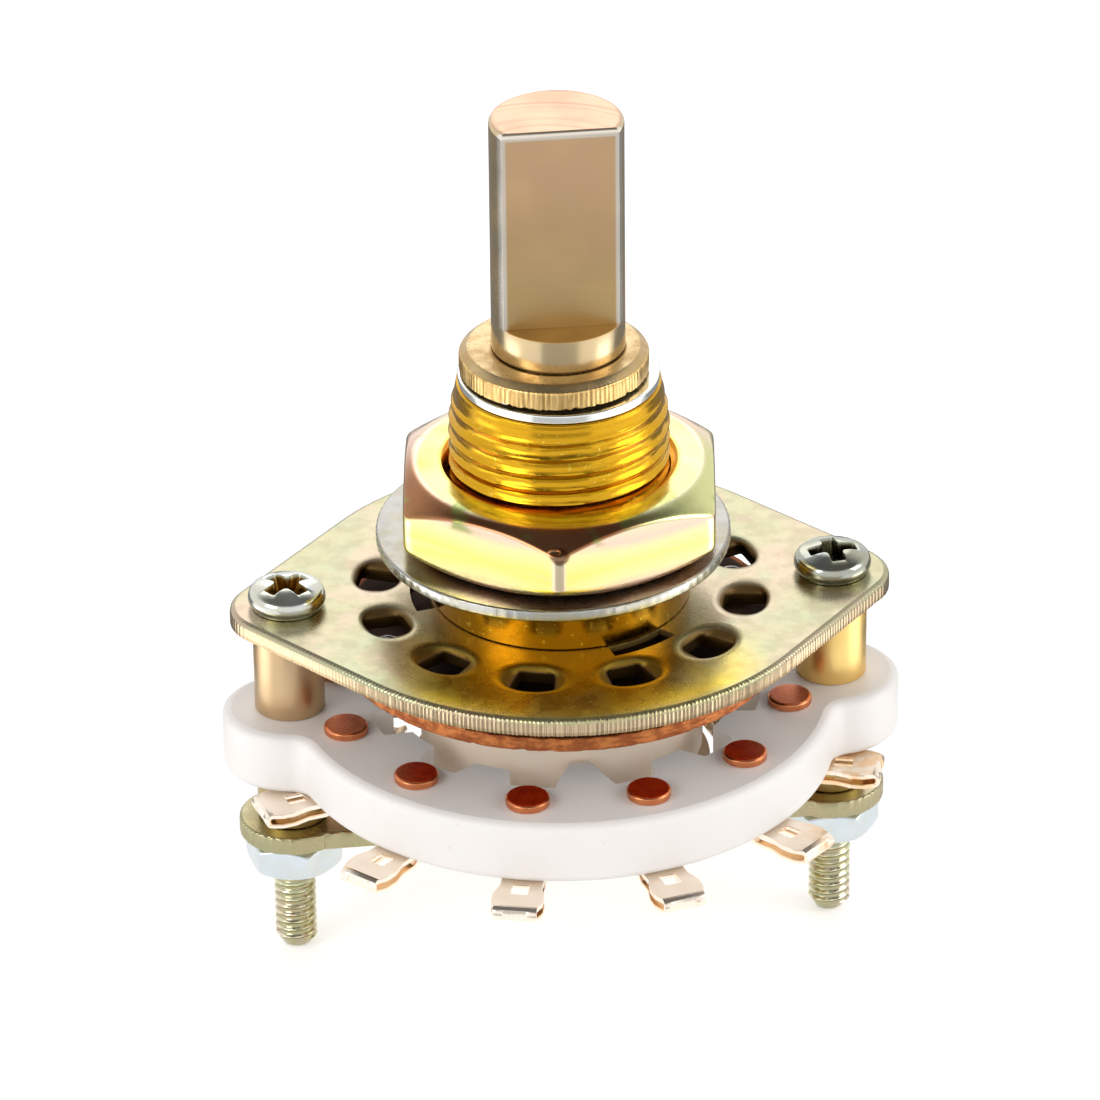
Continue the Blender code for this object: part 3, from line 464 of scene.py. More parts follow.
def nut_chromate(settings):
    """Yellow chromate on zinc: the film's colour drifts from straw to rose and green."""
    f = Finish("nut_chromate")
    straw, rose, mint = settings.straw, settings.rose, settings.mint
    height, bottom = levels("panel_nut", MM)
    waist = height - 1.94
    film = 0.19 + 0.35 * f.grain(0.11, 1.0) + abs(f.z - waist) * 0.18
    top = f.z.step(height - 0.07, height - 0.02)
    drift = f.grain(0.17, 2.0)
    sides = f.ramp(
        film,
        (0.20, mint),
        (0.38, straw),
        (0.52, toned(straw, 1.02, 1.05, 1.7)),
        (0.62, rose),
        (0.78, toned(mint, 1.15, 1.0, 1.0)),
    )
    tops = f.ramp(
        drift,
        (0.30, toned(straw, 0.45, 0.42, 0.35)),
        (0.40, toned(straw, 0.80, 0.86, 1.15)),
        (0.52, toned(mint, 1.14, 1.02, 0.72)),
        (0.60, toned(straw, 0.84, 0.90, 1.15)),
        (0.72, toned(rose, 0.72, 0.75, 0.62)),
    )
    f.base = f.mix(top, sides, tops)
    sink = f.radius.step(5.55, 5.3) * f.z.step(height - 0.59, height - 0.39)
    f.coat(sink * 0.8, straw, 0.85, 0.55, 0.12)
    slope, apex = 0.577, height + 3.79
    cone = (f.z + f.radius * slope - apex).step(-0.14, -0.06) * f.z.step(height - 0.02, height - 0.11)
    warm = f.mix(drift.step(0.35, 0.65), toned(rose, 0.38, 0.24, 0.12), toned(rose, 0.30, 0.14, 0.05))
    warm = f.mix(f.x.step(1.5, 4.5), warm, toned(mint, 1.05, 0.88, 0.62))
    f.coat(cone * f.y.step(4.0, -1.0) * 0.94, warm)
    # Painted highlight: a lighter, pinker strip down the nut's front corner.
    corner_radius = settings.across_flats / math.sqrt(3.0) / MM
    x, y = polar(corner_radius - 0.1, math.degrees(settings.turn) - 90.0)
    plumb = f.combined(f.x, f.y, 0.0)
    corner = f.vector("DISTANCE", plumb, (x, y, 0.0), output="Value").step(0.40, 0.24)
    corner = corner * f.z.step(height - 0.64, height - 0.89)
    f.coat(corner * 0.9, rose, 1.04, 1.24, 1.15)
    # Darker round the dent at the front corner.
    dark_round_dent = f.vector("DISTANCE", f.place, (x, y, height - 0.67), output="Value")
    dark_round_dent = dark_round_dent + 0.5 * f.grain(1.6, 2.0)
    f.coat(dark_round_dent.step(0.85, 0.62) * 0.85, rose, 0.16, 0.08, 0.03)
    olive = f.grain(0.42, 2.0).step(0.56, 0.66) * f.z.step(height - 0.89, height - 0.59)
    olive = olive * f.radius.step(5.6, 6.6)
    f.coat(olive * 0.8, mint, 0.42, 0.46, 0.2)
    under = f.z.step(bottom + 0.51, bottom + 0.21) * f.radius.step(6.4, 6.7)
    f.coat(under * 0.5, rose, 0.8, 0.66, 0.5)
    fine = f.grain(3.0, 3.0)
    return f.made(0.15 + 0.07 * fine + 0.12 * under, fine, 0.004)


def plate_chromate(name, settings, deep=0.32, olive=0.0):
    """Dull yellow chromate on stamped steel, mottled, with bright shear marks on its edge, a painted gold
    reflection on its front and painted shade in its pockets and holes.
    """
    f = Finish(name)
    pale, ochre = settings.champagne, settings.ochre
    top, bottom = levels("index_plate", MM)
    cloud = f.grain(0.16, 2.0)
    mottle = f.grain(1.3, 3.0).step(0.34, 0.70)
    specks = f.grain(9.0, 1.0).step(0.66, 0.74)
    f.base = f.mix(cloud.step(0.38, 0.62), toned(pale, 0.96, 1.0, 0.86), toned(pale, 1.12, 1.0, 1.0))
    film = f.grain(0.45, 2.0)
    f.coat(film.step(0.52, 0.66) * 0.6, pale, 0.88, 1.03, 0.92)
    f.coat(film.step(0.46, 0.34) * 0.6, pale, 1.10, 0.93, 0.98)
    f.coat(mottle * deep, pale, 0.90, 0.86, 0.74)
    f.coat(specks * 0.25, pale, 0.6, 0.5, 0.35)
    f.coat(olive, pale, 0.72, 0.70, 0.48)
    # Painted reflection: a gold patch on the plate's front, where it mirrors the nut and the collar.
    painted_gold_reflection = (f.y + f.x * 0.15).step(-3.0, -7.5) * f.radius.step(12.3, 11.3) * cloud.step(0.2, 0.42)
    painted_gold_reflection = painted_gold_reflection * abs(f.x).step(9.0, 6.0)
    f.coat(painted_gold_reflection * 0.9, ochre, 1.26, 1.30, 0.4)
    sheared = f.z.step(top - 0.21, top - 0.28) * f.z.step(bottom - 0.22, bottom - 0.12)
    f.coat(sheared, pale, 1.15, 0.98, 0.86)
    f.coat(f.z.step(bottom + 0.22, bottom + 0.10) * sheared * 0.6, pale, 0.66, 0.50, 0.36)
    # Painted shade: inside the pockets, windows and centre hole the plate is painted dark, near black deep
    # down.
    within = f.radius.step(10.4, 10.0) * f.z.step(bottom - 0.22, bottom - 0.12)
    painted_pocket_shade = f.z.step(top - 0.008, top - 0.12) * within
    f.coat(painted_pocket_shade * 0.85, ochre, 0.28, 0.20, 0.10)
    f.coat(f.z.step(top - 0.26, top - 0.35) * within * 0.97, ochre, 0.05, 0.035, 0.03)
    rough = 0.24 + 0.08 * mottle + 0.30 * painted_pocket_shade
    return f.made(rough, mottle * 0.12 + f.grain(9.0, 3.0), 0.004)


def blue_zinc(name, settings, shine, warm):
    """The parts of a blue-white zinc plating, with straw-coloured patches where it is warm."""
    f = Finish(name)
    zinc = settings.blue_zinc
    cloud = f.grain(0.9, 3.0).step(0.4, 0.65)
    fine = f.streaks(6.0, 1.2)
    f.base = f.mix(cloud * 0.5, zinc, toned(zinc, 0.92, 0.93, 0.92))
    patch = f.grain(0.7, 2.0).step(0.40, 0.56)
    f.coat(patch * warm, settings.straw, 0.72, 0.75, 1.5)
    return f, shine + 0.10 * cloud, fine + cloud * 0.5


def plain_zinc(name, settings, warm, tone):
    f, rough, height = blue_zinc(name, settings, 0.16, warm)
    f.base = f.mix(1.0, f.base, tone, "MULTIPLY")
    return f.made(rough, height, 0.004)


def washer_zinc(settings, top):
    """Zinc of the panel washer, its face painted much darker than its rim as painted shade."""
    f, rough, height = blue_zinc("panel_washer_zinc", settings, 0.2, 0.3)
    face = f.z.step(top - 0.12, top - 0.03)
    # Painted shade: the level face is painted much darker than the rim.
    f.base = f.mix(1.0, f.base, f.mix(face, (0.90, 0.85, 0.79), (0.50, 0.46, 0.41)), "MULTIPLY")
    return f.made(rough, height, 0.004)


def screw_zinc(settings, top):
    """Zinc of the screws: grey heads, the left one painted lighter and the right one darker as painted
    light, painted shade down in the cross, straw-coloured threads with painted shade in their grooves.
    """
    f, rough, height = blue_zinc("screw_zinc", settings, 0.14, 0.5)
    plate, nut = high("index_plate").z / MM, low("screw_nut_left").z / MM
    head = f.z.step(plate - 0.42, plate - 0.02)
    # Painted light: the left head is painted lighter and the right one darker.
    f.coat(head * 0.6, f.mix(f.x.step(-2.0, 2.0), (0.66, 0.68, 0.60), (0.24, 0.25, 0.18)))
    x = abs(f.x) - studs()[1] / MM
    reach = (x * x + f.y * f.y) ** 0.5
    # Painted shade down in the cross, brown on the left head and near black on the right.
    recess = f.z.step(top - 0.16, top - 0.40) * reach.step(1.30, 1.15) * head
    film = f.mix(f.x.step(-2.0, 2.0), (0.42, 0.26, 0.05), (0.09, 0.085, 0.04))
    f.coat(recess * 0.9, film)
    tail = f.z.step(nut + 1.13, nut + 0.13)
    straw = f.mix(f.grain(0.8, 2.0).step(0.4, 0.6), (0.80, 0.78, 0.45), (0.88, 0.72, 0.50))
    f.coat(tail * 0.7, straw)
    # Painted shade: darker down in the tail's thread grooves.
    f.coat(reach.step(0.95, 0.84) * tail * 0.6, (0.20, 0.17, 0.06))
    return f.made(rough, height, 0.004)


def rivet_copper(settings, top):
    """Copper rivets, their flat tops painted dark red as painted reflection and shade under the plate,
    less so at the far ends.
    """
    f = Finish("rivet_copper")
    copper = settings.copper
    mottle = f.grain(2.2, 3.0).step(0.4, 0.65)
    f.base = f.mix(mottle * 0.5, copper, toned(copper, 0.9, 0.72, 0.6))
    # Painted reflection and shade: dark red tops, as the copper disc mirrored under the plate; a quarter
    # as strong on the rivets at the far ends.
    film = f.mix(mottle, (0.72, 0.052, 0.004), (0.50, 0.024, 0.002))
    topmost = f.z.step(top - 0.04, top - 0.015)
    f.coat(topmost * abs(f.x).step(9.2, 7.0, 0.25, 1.0), film)
    fine = f.grain(9.0, 2.0)
    return f.made(0.22 + 0.10 * mottle, fine, 0.004, metallic=1.0 - 0.4 * topmost)


def disc_copper(settings):
    """Copper sheet with a rough, browned edge, and its face inside the edge painted near black as painted
    shade.
    """
    f = Finish("disc_copper")
    copper = settings.copper
    rim = half_width("index_disc", MM)
    edge = f.radius.step(rim - 0.15, rim - 0.05)
    blotch = f.grain(1.7, 5.0, 0.65)
    bare, browned = toned(copper, 0.86, 0.86, 0.62), toned(copper, 0.52, 0.44, 0.34)
    f.base = f.mix(blotch.step(0.40, 0.62), bare, browned)
    dark = f.streaks(0.8, 4.0, 4.0, 0.7).step(0.47, 0.62) * edge
    f.coat(dark * 0.85, settings.oxide_and_shade)
    # Painted shade: the face inside the edge, seen only through holes, is painted near black.
    f.coat(f.radius.step(rim - 0.15, rim - 0.4) * 0.95, settings.oxide_and_shade, 0.08, 0.12, 0.15)
    rough = 0.50 + 0.05 * edge
    return f.made(rough, blotch + f.grain(8.0, 2.0) * edge, 0.02)


def switch_ceramic(settings):
    """Fine white ceramic, dry pressed and unglazed, with the rotor painted warmer as painted bounce light.
    """
    f = Finish("switch_ceramic")
    white = settings.ceramic
    cloud = f.grain(0.25, 2.0).step(0.4, 0.62)
    dots = f.grain(2.6, 1.0).step(0.765, 0.78)
    f.base = f.mix(cloud * 0.5, white, toned(white, 1.0, 0.985, 0.975))
    f.coat(dots * 0.25, white, 0.7, 0.66, 0.62)
    # Painted bounce light: the rotor, inside about 7 mm, is painted warmer, as if lit by the copper disc.
    f.coat(f.radius.step(7.2, 6.7), white, 1.09, 0.98, 0.84)
    fine = f.grain(5.0, 4.0, 0.6)
    return f.made(0.38 + 0.10 * fine, fine, 0.008, metallic=0.0)


def contact_strip(settings):
    """Silver plate on spring alloy, warm and bright, darker inside its folds."""
    f = Finish("contact_strip")
    strip = settings.strip
    cloud = f.grain(0.9, 3.0).step(0.4, 0.64)
    f.base = f.mix(cloud * 0.4, strip, toned(strip, 0.98, 0.92, 0.86))
    leaf, end = low("stator").z / MM - 0.13, LUG_REACH / MM
    fold = f.z.step(leaf - 0.10, leaf - 0.14) * f.z.step(leaf - 0.48, leaf - 0.44)
    fold = fold * f.radius.step(end - 3.2, end - 2.6) * f.radius.step(end - 0.12, end - 0.2)
    f.coat(fold * 0.7, settings.strip_inside)
    stain = f.x.step(9.0, 11.5) * f.grain(1.3, 2.0).step(0.38, 0.58)
    f.coat(stain * 0.7, strip, 0.92, 0.66, 0.38)
    jaw = f.radius.step(10.0, 9.2)
    f.coat(jaw * 0.6, strip, 0.75, 0.66, 0.5)
    return f.made(0.16 + 0.10 * cloud, f.grain(4.0, 3.0), 0.006)


def spring_steel():
    f = Finish("spring_steel")
    lines = f.grain(2.0, 3.0)
    f.base = f.mix(lines, (0.56, 0.56, 0.55), (0.68, 0.67, 0.65))
    return f.made(0.18 + 0.12 * lines, lines, 0.003)


def add_mesh(name, bm):
    mesh = bpy.data.meshes.new(name)
    bm.to_mesh(mesh)
    bm.free()
    obj = bpy.data.objects.new(name, mesh)
    bpy.context.scene.collection.objects.link(obj)
    return obj


def settle(obj):
    """Turns an object with its modifiers into a plain welded mesh of the same name."""
    bpy.context.view_layer.update()
    graph = bpy.context.evaluated_depsgraph_get()
    mesh = bpy.data.meshes.new_from_object(
        obj.evaluated_get(graph), preserve_all_data_layers=True, depsgraph=graph
    )
    name = obj.name
    bpy.data.objects.remove(obj)
    bm = bmesh.new()
    bm.from_mesh(mesh)
    bmesh.ops.remove_doubles(bm, verts=bm.verts, dist=MERGE)
    bpy.data.meshes.remove(mesh)
    return add_mesh(name, bm)


def carved(obj, tool, operation="DIFFERENCE"):
    modifier = obj.modifiers.new("carve", "BOOLEAN")
    modifier.operation = operation
    modifier.solver = "EXACT"
    modifier.object = tool
    result = settle(obj)
    bpy.data.objects.remove(tool)
    return result


def bevelled(obj, width, steps=2, limit=32.0):
    modifier = obj.modifiers.new("edges", "BEVEL")
    modifier.width = width
    modifier.segments = steps
    modifier.limit_method = "ANGLE"
    modifier.angle_limit = math.radians(limit)
    return settle(obj)


def polar(radius, degrees):
    turn = math.radians(degrees)
    return radius * math.cos(turn), radius * math.sin(turn)


def arc(centre, radius, start, end, count):
    """Points on an arc, both ends included."""
    line = []
    for i in range(count):
        x, y = polar(radius, start + (end - start) * i / (count - 1))
        line.append((centre[0] + x, centre[1] + y))
    return line


def ring(centre, radius, count):
    return arc(centre, radius, 0.0, 360.0, count + 1)[:-1]


def rounded(corners, closed=True, steps=4):
    """A line through corners given as (x, y) or, for a rounded one, (x, y, radius)."""
    line = []
    for i, (x, y, *radius) in enumerate(corners):
        here = Vector((x, y))
        if not radius or (not closed and i in (0, len(corners) - 1)):
            line.append((x, y))
            continue
        back = Vector(corners[i - 1][:2]) - here
        ahead = Vector(corners[(i + 1) % len(corners)][:2]) - here
        reach = radius[0] / math.tan(back.angle(ahead) / 2)
        reach = min(reach, 0.49 * back.length, 0.49 * ahead.length)
        start, end = here + back.normalized() * reach, here + ahead.normalized() * reach
        for k in range(steps + 1):
            t = k / steps
            line.append(tuple(start * (1 - t) ** 2 + here * (2 * t * (1 - t)) + end * t**2))
    return line


def between(first, last, count):
    """Points evenly spaced between two, without the ends."""
    (a, b), (c, d) = first, last
    return [(a + (c - a) * i / count, b + (d - b) * i / count) for i in range(1, count)]


def respaced(loop, gap):
    """The same closed line with its points about gap apart."""
    line = []
    for here, ahead in zip(loop, loop[1:] + loop[:1]):
        span = math.dist(here, ahead)
        line.append(here)
        line += between(here, ahead, max(1, round(span / gap)))
    return line


def lathe(name, corners, segments=96, closed=True):
    """A turned piece from its half section in radius and height."""
    bm = bmesh.new()
    points = [bm.verts.new((x, 0.0, z)) for x, z in rounded(corners, closed)]
    edges = [bm.edges.new(pair) for pair in zip(points, points[1:])]
    if closed:
        edges.append(bm.edges.new((points[-1], points[0])))
    turns = {"axis": (0, 0, 1), "cent": (0, 0, 0), "dvec": (0, 0, 0), "angle": 2 * math.pi}
    bmesh.ops.spin(bm, geom=points + edges, steps=segments, **turns)
    bmesh.ops.remove_doubles(bm, verts=bm.verts, dist=MERGE)
    bmesh.ops.recalc_face_normals(bm, faces=bm.faces)
    return add_mesh(name, bm)


def tube(outer, inner, top, bottom, edge):
    return [(inner, top), (outer, top, edge), (outer, bottom, edge), (inner, bottom)]


def flat(name, loops, bottom, top, edge=0.0):
    """A flat piece with holes, its edges rounded. The first loop is the outline."""
    curve = bpy.data.curves.new(name, "CURVE")
    curve.dimensions = "2D"
    curve.fill_mode = "BOTH"
    curve.extrude = (top - bottom) / 2 - edge
    curve.bevel_depth = edge
    curve.bevel_resolution = 2
    curve.offset = -edge
    for loop in loops:
        spline = curve.splines.new("POLY")
        spline.points.add(len(loop) - 1)
        for point, (x, y) in zip(spline.points, loop):
            point.co = (x, y, 0.0, 1.0)
        spline.use_cyclic_u = True
    obj = bpy.data.objects.new(name, curve)
    bpy.context.scene.collection.objects.link(obj)
    obj = settle(obj)
    obj.data.transform(Matrix.Translation((0.0, 0.0, (top + bottom) / 2)))
    return obj


def rolled(name, outline, bottom, top, edge):
    """A stamping with its upper edge drawn down into a curve and its lower edge left sharp."""
    blank = flat(name, [outline], bottom - 2 * edge, top, edge)
    far = 100 * MM
    return carved(blank, block("below", (-far, -far, bottom - far), (far, far, bottom)))


def punch(node, loop):
    """A tool that cuts a loop right through a flat node."""
    top, bottom = levels(node)
    return flat("punch", [loop], bottom - MM, top + MM)


def screw_holes(node):
    return [punch(node, ring((x, 0.0), TUBE_BORE, 32)) for x in studs()]


def block(name, corner, opposite):
    bm = bmesh.new()
    verts = bmesh.ops.create_cube(bm, size=1.0)["verts"]
    first, last = Vector(corner), Vector(opposite)
    for vert in verts:
        vert.co = (first + last) / 2 + vert.co * (last - first)
    return add_mesh(name, bm)


def loft(name, rings):
    """A closed solid through rings of points of equal count, from its top ring down."""
    bm = bmesh.new()
    rows = [[bm.verts.new(point) for point in points] for points in rings]
    count = len(rows[0])
    for upper, lower in zip(rows, rows[1:]):
        for i in range(count):
            j = (i + 1) % count
            bm.faces.new((upper[i], lower[i], lower[j], upper[j]))
    bm.faces.new(rows[0])
    bm.faces.new(rows[-1][::-1])
    bmesh.ops.recalc_face_normals(bm, faces=bm.faces)
    return add_mesh(name, bm)


def ball(name, centre, radius, shape=(1.0, 1.0, 1.0)):
    bm = bmesh.new()
    bmesh.ops.create_icosphere(bm, subdivisions=4, radius=radius)
    bmesh.ops.scale(bm, verts=bm.verts, vec=shape)
    bmesh.ops.translate(bm, verts=bm.verts, vec=centre)
    return add_mesh(name, bm)


def joined(name, objects):
    """One object with the meshes of several that don't overlap."""
    bm = bmesh.new()
    for obj in objects:
        bm.from_mesh(obj.data)
        bpy.data.objects.remove(obj)
    return add_mesh(name, bm)


def moved(obj, place=(0.0, 0.0, 0.0), turn=0.0):
    obj.data.transform(Matrix.Translation(place) @ Matrix.Rotation(turn, 4, "Z"))
    return obj


class Recipe(Net):
    """A Geometry Nodes tree with named inputs, which ends in realised geometry and its material."""

    def __init__(self, name, inputs):
        super().__init__(bpy.data.node_groups.new(name, "GeometryNodeTree"))
        face = self.tree.interface
        face.new_socket("Geometry", in_out="OUTPUT", socket_type="NodeSocketGeometry")
        kinds = {"Geometry": "NodeSocketGeometry", **inputs, "Finish": "NodeSocketMaterial"}
        self.keys = {}
        for label, kind in kinds.items():
            socket = face.new_socket(label, in_out="INPUT", socket_type=kind)
            self.keys[label] = socket.identifier
        node = self.add("NodeGroupInput", output="Geometry").socket.node
        self.given = {label: Value(self.tree, node.outputs[label]) for label in kinds}

    def asked(self):
        """The numbers that the recipe is given, in their order."""
        return [self.given[label] for label in self.keys if label not in ("Geometry", "Finish")]

    def shifted(self, *offset):
        """Ends the recipe with its geometry moved by an offset."""
        inputs = {"Geometry": self.given["Geometry"], "Offset": self.combined(*offset)}
        return self.ended(self.add("GeometryNodeSetPosition", inputs))

    def ended(self, geometry):
        real = self.add("GeometryNodeRealizeInstances", [geometry])
        inputs = {"Geometry": real, "Material": self.given["Finish"]}
        done = self.add("GeometryNodeSetMaterial", inputs)
        node = self.tree.nodes.new("NodeGroupOutput")
        self.tree.links.new(done.socket, node.inputs[0])
        return self

    def applied(self, obj, **values):
        modifier = obj.modifiers.new(self.tree.name, "NODES")
        modifier.node_group = self.tree
        for label, value in values.items():
            modifier[self.keys[label.replace("_", " ")]] = value
        return settle(obj)


def thread_recipe():
    """Cuts a worn helical groove into the round outer wall of a turned piece."""
    names = ("Pitch", "Depth", "Groove", "Radius", "Bottom", "Top", "Fade", "Wear")
    r = Recipe("thread", dict.fromkeys(names, "NodeSocketFloat"))
    pitch, depth, width, outer, bottom, top, fade, wear = r.asked()
    place = r.add("GeometryNodeInputPosition")
    x, y, z = r.axes(place)
    radius = (x * x + y * y) ** 0.5
    turn = y.math("ARCTAN2", x) / (2 * math.pi)
    phase = (z / pitch - turn + 64.0).fraction()
    crest = (abs(phase - 0.5) * 2.0 / width).lower(1.0)
    groove = 1.0 - crest * crest
    ends = z.step(bottom, bottom + fade * 0.25) * z.step(top, top - fade)
    wall = radius.step(outer * 0.86, outer * 0.89)
    worn = 1.0 - wear * r.noise(place, 900.0, 2.0).step(0.4, 0.7)
    push = -1.0 * depth * groove * ends * wall * worn / radius
    return r.shifted(x * push, y * push, 0.0)


def shear_recipe():
    """Marks the upright edge of a stamping with fine upright ribs and a ragged lower rim."""
    names = ("Depth", "Count", "Gap", "Ragged", "Bottom", "Inner", "Reach")
    r = Recipe("shear_marks", dict.fromkeys(names, "NodeSocketFloat"))
    depth, count, gap, ragged, bottom, inner, reach = r.asked()
    x, y, z = r.axes(r.add("GeometryNodeInputPosition"))
    nx, ny, nz = r.axes(r.add("GeometryNodeInputNormal"))
    radius = (x * x + y * y) ** 0.5
    loose = r.noise(r.combined(x / gap, y / gap, 0.0), 0.8, 1.0)
    even = (y.math("ARCTAN2", x) * count + 3.0 * loose).math("SINE")
    ribs = 0.42 * even + 0.45 * (loose - 0.5)
    outside = radius.step(inner, inner + 0.2 * MM)
    calm = abs(x).step(reach, reach * 0.7, 0.3, 1.0)
    push = ribs * abs(nz).step(0.75, 0.5) * outside * calm * depth * 2.0
    tear = r.noise(r.combined(x / gap, y / gap, 3.0), 0.45, 3.0).step(0.5, 0.75)
    rim = z.step(bottom + 0.3 * MM, bottom + 0.1 * MM)
    return r.shifted(nx * push, ny * push, tear * rim * outside * ragged)


def sheared(obj, finish, radius, depth, count, gap=0.14, ragged=0.0, reach=1.0 / MM):
    """Shear marks outside a radius. Lengths are in millimetres, but for the radius."""
    bottom = min(vert.co.z for vert in obj.data.vertices)
    lengths = {"Depth": depth, "Gap": gap, "Ragged": ragged, "Reach": reach}
    values = {label: length * MM for label, length in lengths.items()}
    values.update(Count=float(count), Bottom=bottom, Inner=radius, Finish=finish)
    return shear_recipe().applied(obj, **values)


def shear_sizes(settings):
    """The depth, the count and the gap of the marks that the plate and the strap share."""
    count = round(2 * math.pi * high("index_plate").y / settings.shear_pitch)
    return settings.shear_depth / MM, count, settings.shear_pitch / MM


def ring_recipe():
    """Copies a pattern round the shaft's axis, with another one in its place at one position."""
    inputs = dict.fromkeys(("Pattern", "Odd"), "NodeSocketObject")
    inputs.update(dict.fromkeys(("Odd Index", "Count"), "NodeSocketInt"), First="NodeSocketFloat")
    r = Recipe("ring_of_copies", inputs)
    pattern, other, position, count, first = r.asked()
    points = r.add("GeometryNodePoints", [count])
    index = r.add("GeometryNodeInputIndex")
    rotation = r.combined(0.0, 0.0, first + index * (2 * math.pi) / count)
    odd = r.add("FunctionNodeCompare", {2: index, 3: position}, data_type="INT", operation="EQUAL")
    usual = r.add("FunctionNodeBooleanMath", [odd], operation="NOT")
    join = r.tree.nodes.new("GeometryNodeJoinGeometry")
    for item, chosen in ((pattern, usual), (other, odd)):
        source = r.add("GeometryNodeObjectInfo", {"Object": item}, "Geometry")
        inputs = {"Points": points, "Selection": chosen, "Instance": source, "Rotation": rotation}
        copies = r.add("GeometryNodeInstanceOnPoints", inputs)
        r.tree.links.new(copies.socket, join.inputs[0])
    return r.ended(Value(r.tree, join.outputs[0]))


def copied_round(name, pattern, finish, odd=None, odd_index=-1):
    """Twelve copies of a pattern as one plain mesh."""
    odd = odd or pattern
    values = {"Pattern": pattern, "Odd": odd, "Odd_Index": odd_index, "Count": POSITIONS}
    values.update(First=math.radians(FIRST_ANGLE), Finish=finish)
    result = ring_recipe().applied(add_mesh(name, bmesh.new()), **values)
    for source in {pattern, odd}:
        bpy.data.objects.remove(source)
    return result


def done(obj, finish, body, nodes, slot, smooth=35.0):
    """Shades a piece, with its level faces crisp, gives it its finish and ties it to the frame."""
    mesh = obj.data
    mesh.materials.clear()
    mesh.materials.append(finish)
    mesh.shade_smooth()
    mesh.set_sharp_from_angle(angle=math.radians(smooth))
    bm = bmesh.new()
    bm.from_mesh(mesh)
    for edge in bm.edges:
        if len({abs(face.normal.z) > LEVEL_NORMAL for face in edge.link_faces}) == 2:
            edge.smooth = False
    bm.to_mesh(mesh)
    bm.free()
    weighted = obj.modifiers.new("normals", "WEIGHTED_NORMAL")
    weighted.keep_sharp = True
    weighted.weight = 60
    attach(obj, body)
    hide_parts(*nodes)
    return obj


def hex_nut(name, node, across, face, bore, sink, turn, soft, sharp=55.0, segments=360):
    """A nut turned with chamfered faces, then squeezed to a hexagon with soft rims."""
    top, bottom = levels(node)
    corner = 1.2 * across / math.sqrt(3.0)
    drop = (corner - face) * math.tan(math.radians(30.0))
    middle_height = (top + bottom) / 2
    upper = rounded([(bore + sink, top, sink / 2), (face, top, soft), (corner, top - drop)], False, 8)
    upper[-1:] = between(upper[-2], upper[-1], 28) + [(corner, top - drop)]
    lower = [(x, 2 * middle_height - z) for x, z in reversed(upper)]
    wall = between(upper[-1], lower[0], 4) if top - drop > middle_height else []
    while len(upper) > 1 and upper[-1][1] < middle_height:
        upper.pop()
        lower.pop(0)
    nut = lathe(name, upper + wall + lower + [(bore, bottom + sink), (bore, top - sink)], segments)
    for vert in nut.data.vertices:
        x, y, _ = vert.co
        radius, angle = math.hypot(x, y), math.atan2(y, x)
        sides = sum(max(0.0, math.cos(angle - turn - k * math.pi / 3)) ** sharp for k in range(6))
        limit = across / 2 * sides ** (-1 / sharp)
        squeezed = (radius**-sharp + limit**-sharp) ** (-1 / sharp) if radius > 0.6 * limit else radius
        vert.co.x, vert.co.y = x * squeezed / radius, y * squeezed / radius
    return moved(nut, (middle(node).x, 0.0, 0.0))


def pocket_tool():
    """The shape that a detent pocket takes out: an oval dip that narrows to a tapered hole."""
    top, bottom = levels("index_plate")
    sections = (
        (top + 0.20 * MM, 1.90, 2.40, 2.0, 0.00),
        (top + 0.003 * MM, 1.52, 1.98, 2.0, 0.00),
        (top - 0.004 * MM, 1.40, 1.84, 2.0, 0.00),
        (top - 0.018 * MM, 1.27, 1.68, 2.0, 0.00),
        (top - 0.05 * MM, 1.16, 1.50, 2.1, 0.01),
        (top - 0.11 * MM, 1.06, 1.32, 2.3, 0.03),
        (top - 0.20 * MM, 0.99, 1.14, 3.0, 0.07),
        (top - 0.30 * MM, 0.96, 0.98, 6.0, 0.12),
        (top - 0.40 * MM, 0.95, 0.90, 16.0, 0.15),
        (bottom - 0.30 * MM, 0.95, 0.88, 24.0, 0.16),
    )
    rings = []
    for z, radial, along, square, taper in sections:
        points = []
        for k in range(48):
            c, s = polar(1.0, 360.0 * k / 48)
            x = math.copysign(abs(c) ** (2 / square), c)
            y = math.copysign(abs(s) ** (2 / square), s) * (1.0 + taper * x)
            points.append((POCKET_CIRCLE + radial * MM * x, along * MM * y, z))
        rings.append(points)
    return loft("pocket", rings)


def hull(radius, end_radius, reach):
    """A disc with a small round end on each side, joined by straight tangents."""
    lean = math.degrees(math.acos((radius - end_radius) / reach))
    loop = arc((reach, 0.0), end_radius, -lean, lean, 17)
    loop += arc(AXIS, radius, lean, 180.0 - lean, 49)
    loop += arc((-reach, 0.0), end_radius, 180.0 - lean, 180.0 + lean, 17)
    return loop + arc(AXIS, radius, 180.0 + lean, 360.0 - lean, 49)


def wafer_loop(radius, ear, fillet, reach):
    """The round wafer with an ear on each side."""
    x = ((radius + fillet) ** 2 - (ear + fillet) ** 2 + reach**2) / (2 * reach)
    y = math.sqrt((radius + fillet) ** 2 - x * x)
    ear_end = math.degrees(math.atan2(y, x - reach))
    start = math.degrees(math.atan2(y, x))
    quarter = arc((reach, 0.0), ear, 0.0, ear_end, 16)
    quarter += arc((x, y), fillet, ear_end + 180.0, start + 180.0, 9)[1:-1]
    quarter += arc(AXIS, radius, start, 90.0, 32)
    half = quarter + [(-a, b) for a, b in reversed(quarter[:-1])]
    return half + [(a, -b) for a, b in reversed(half[1:-1])]


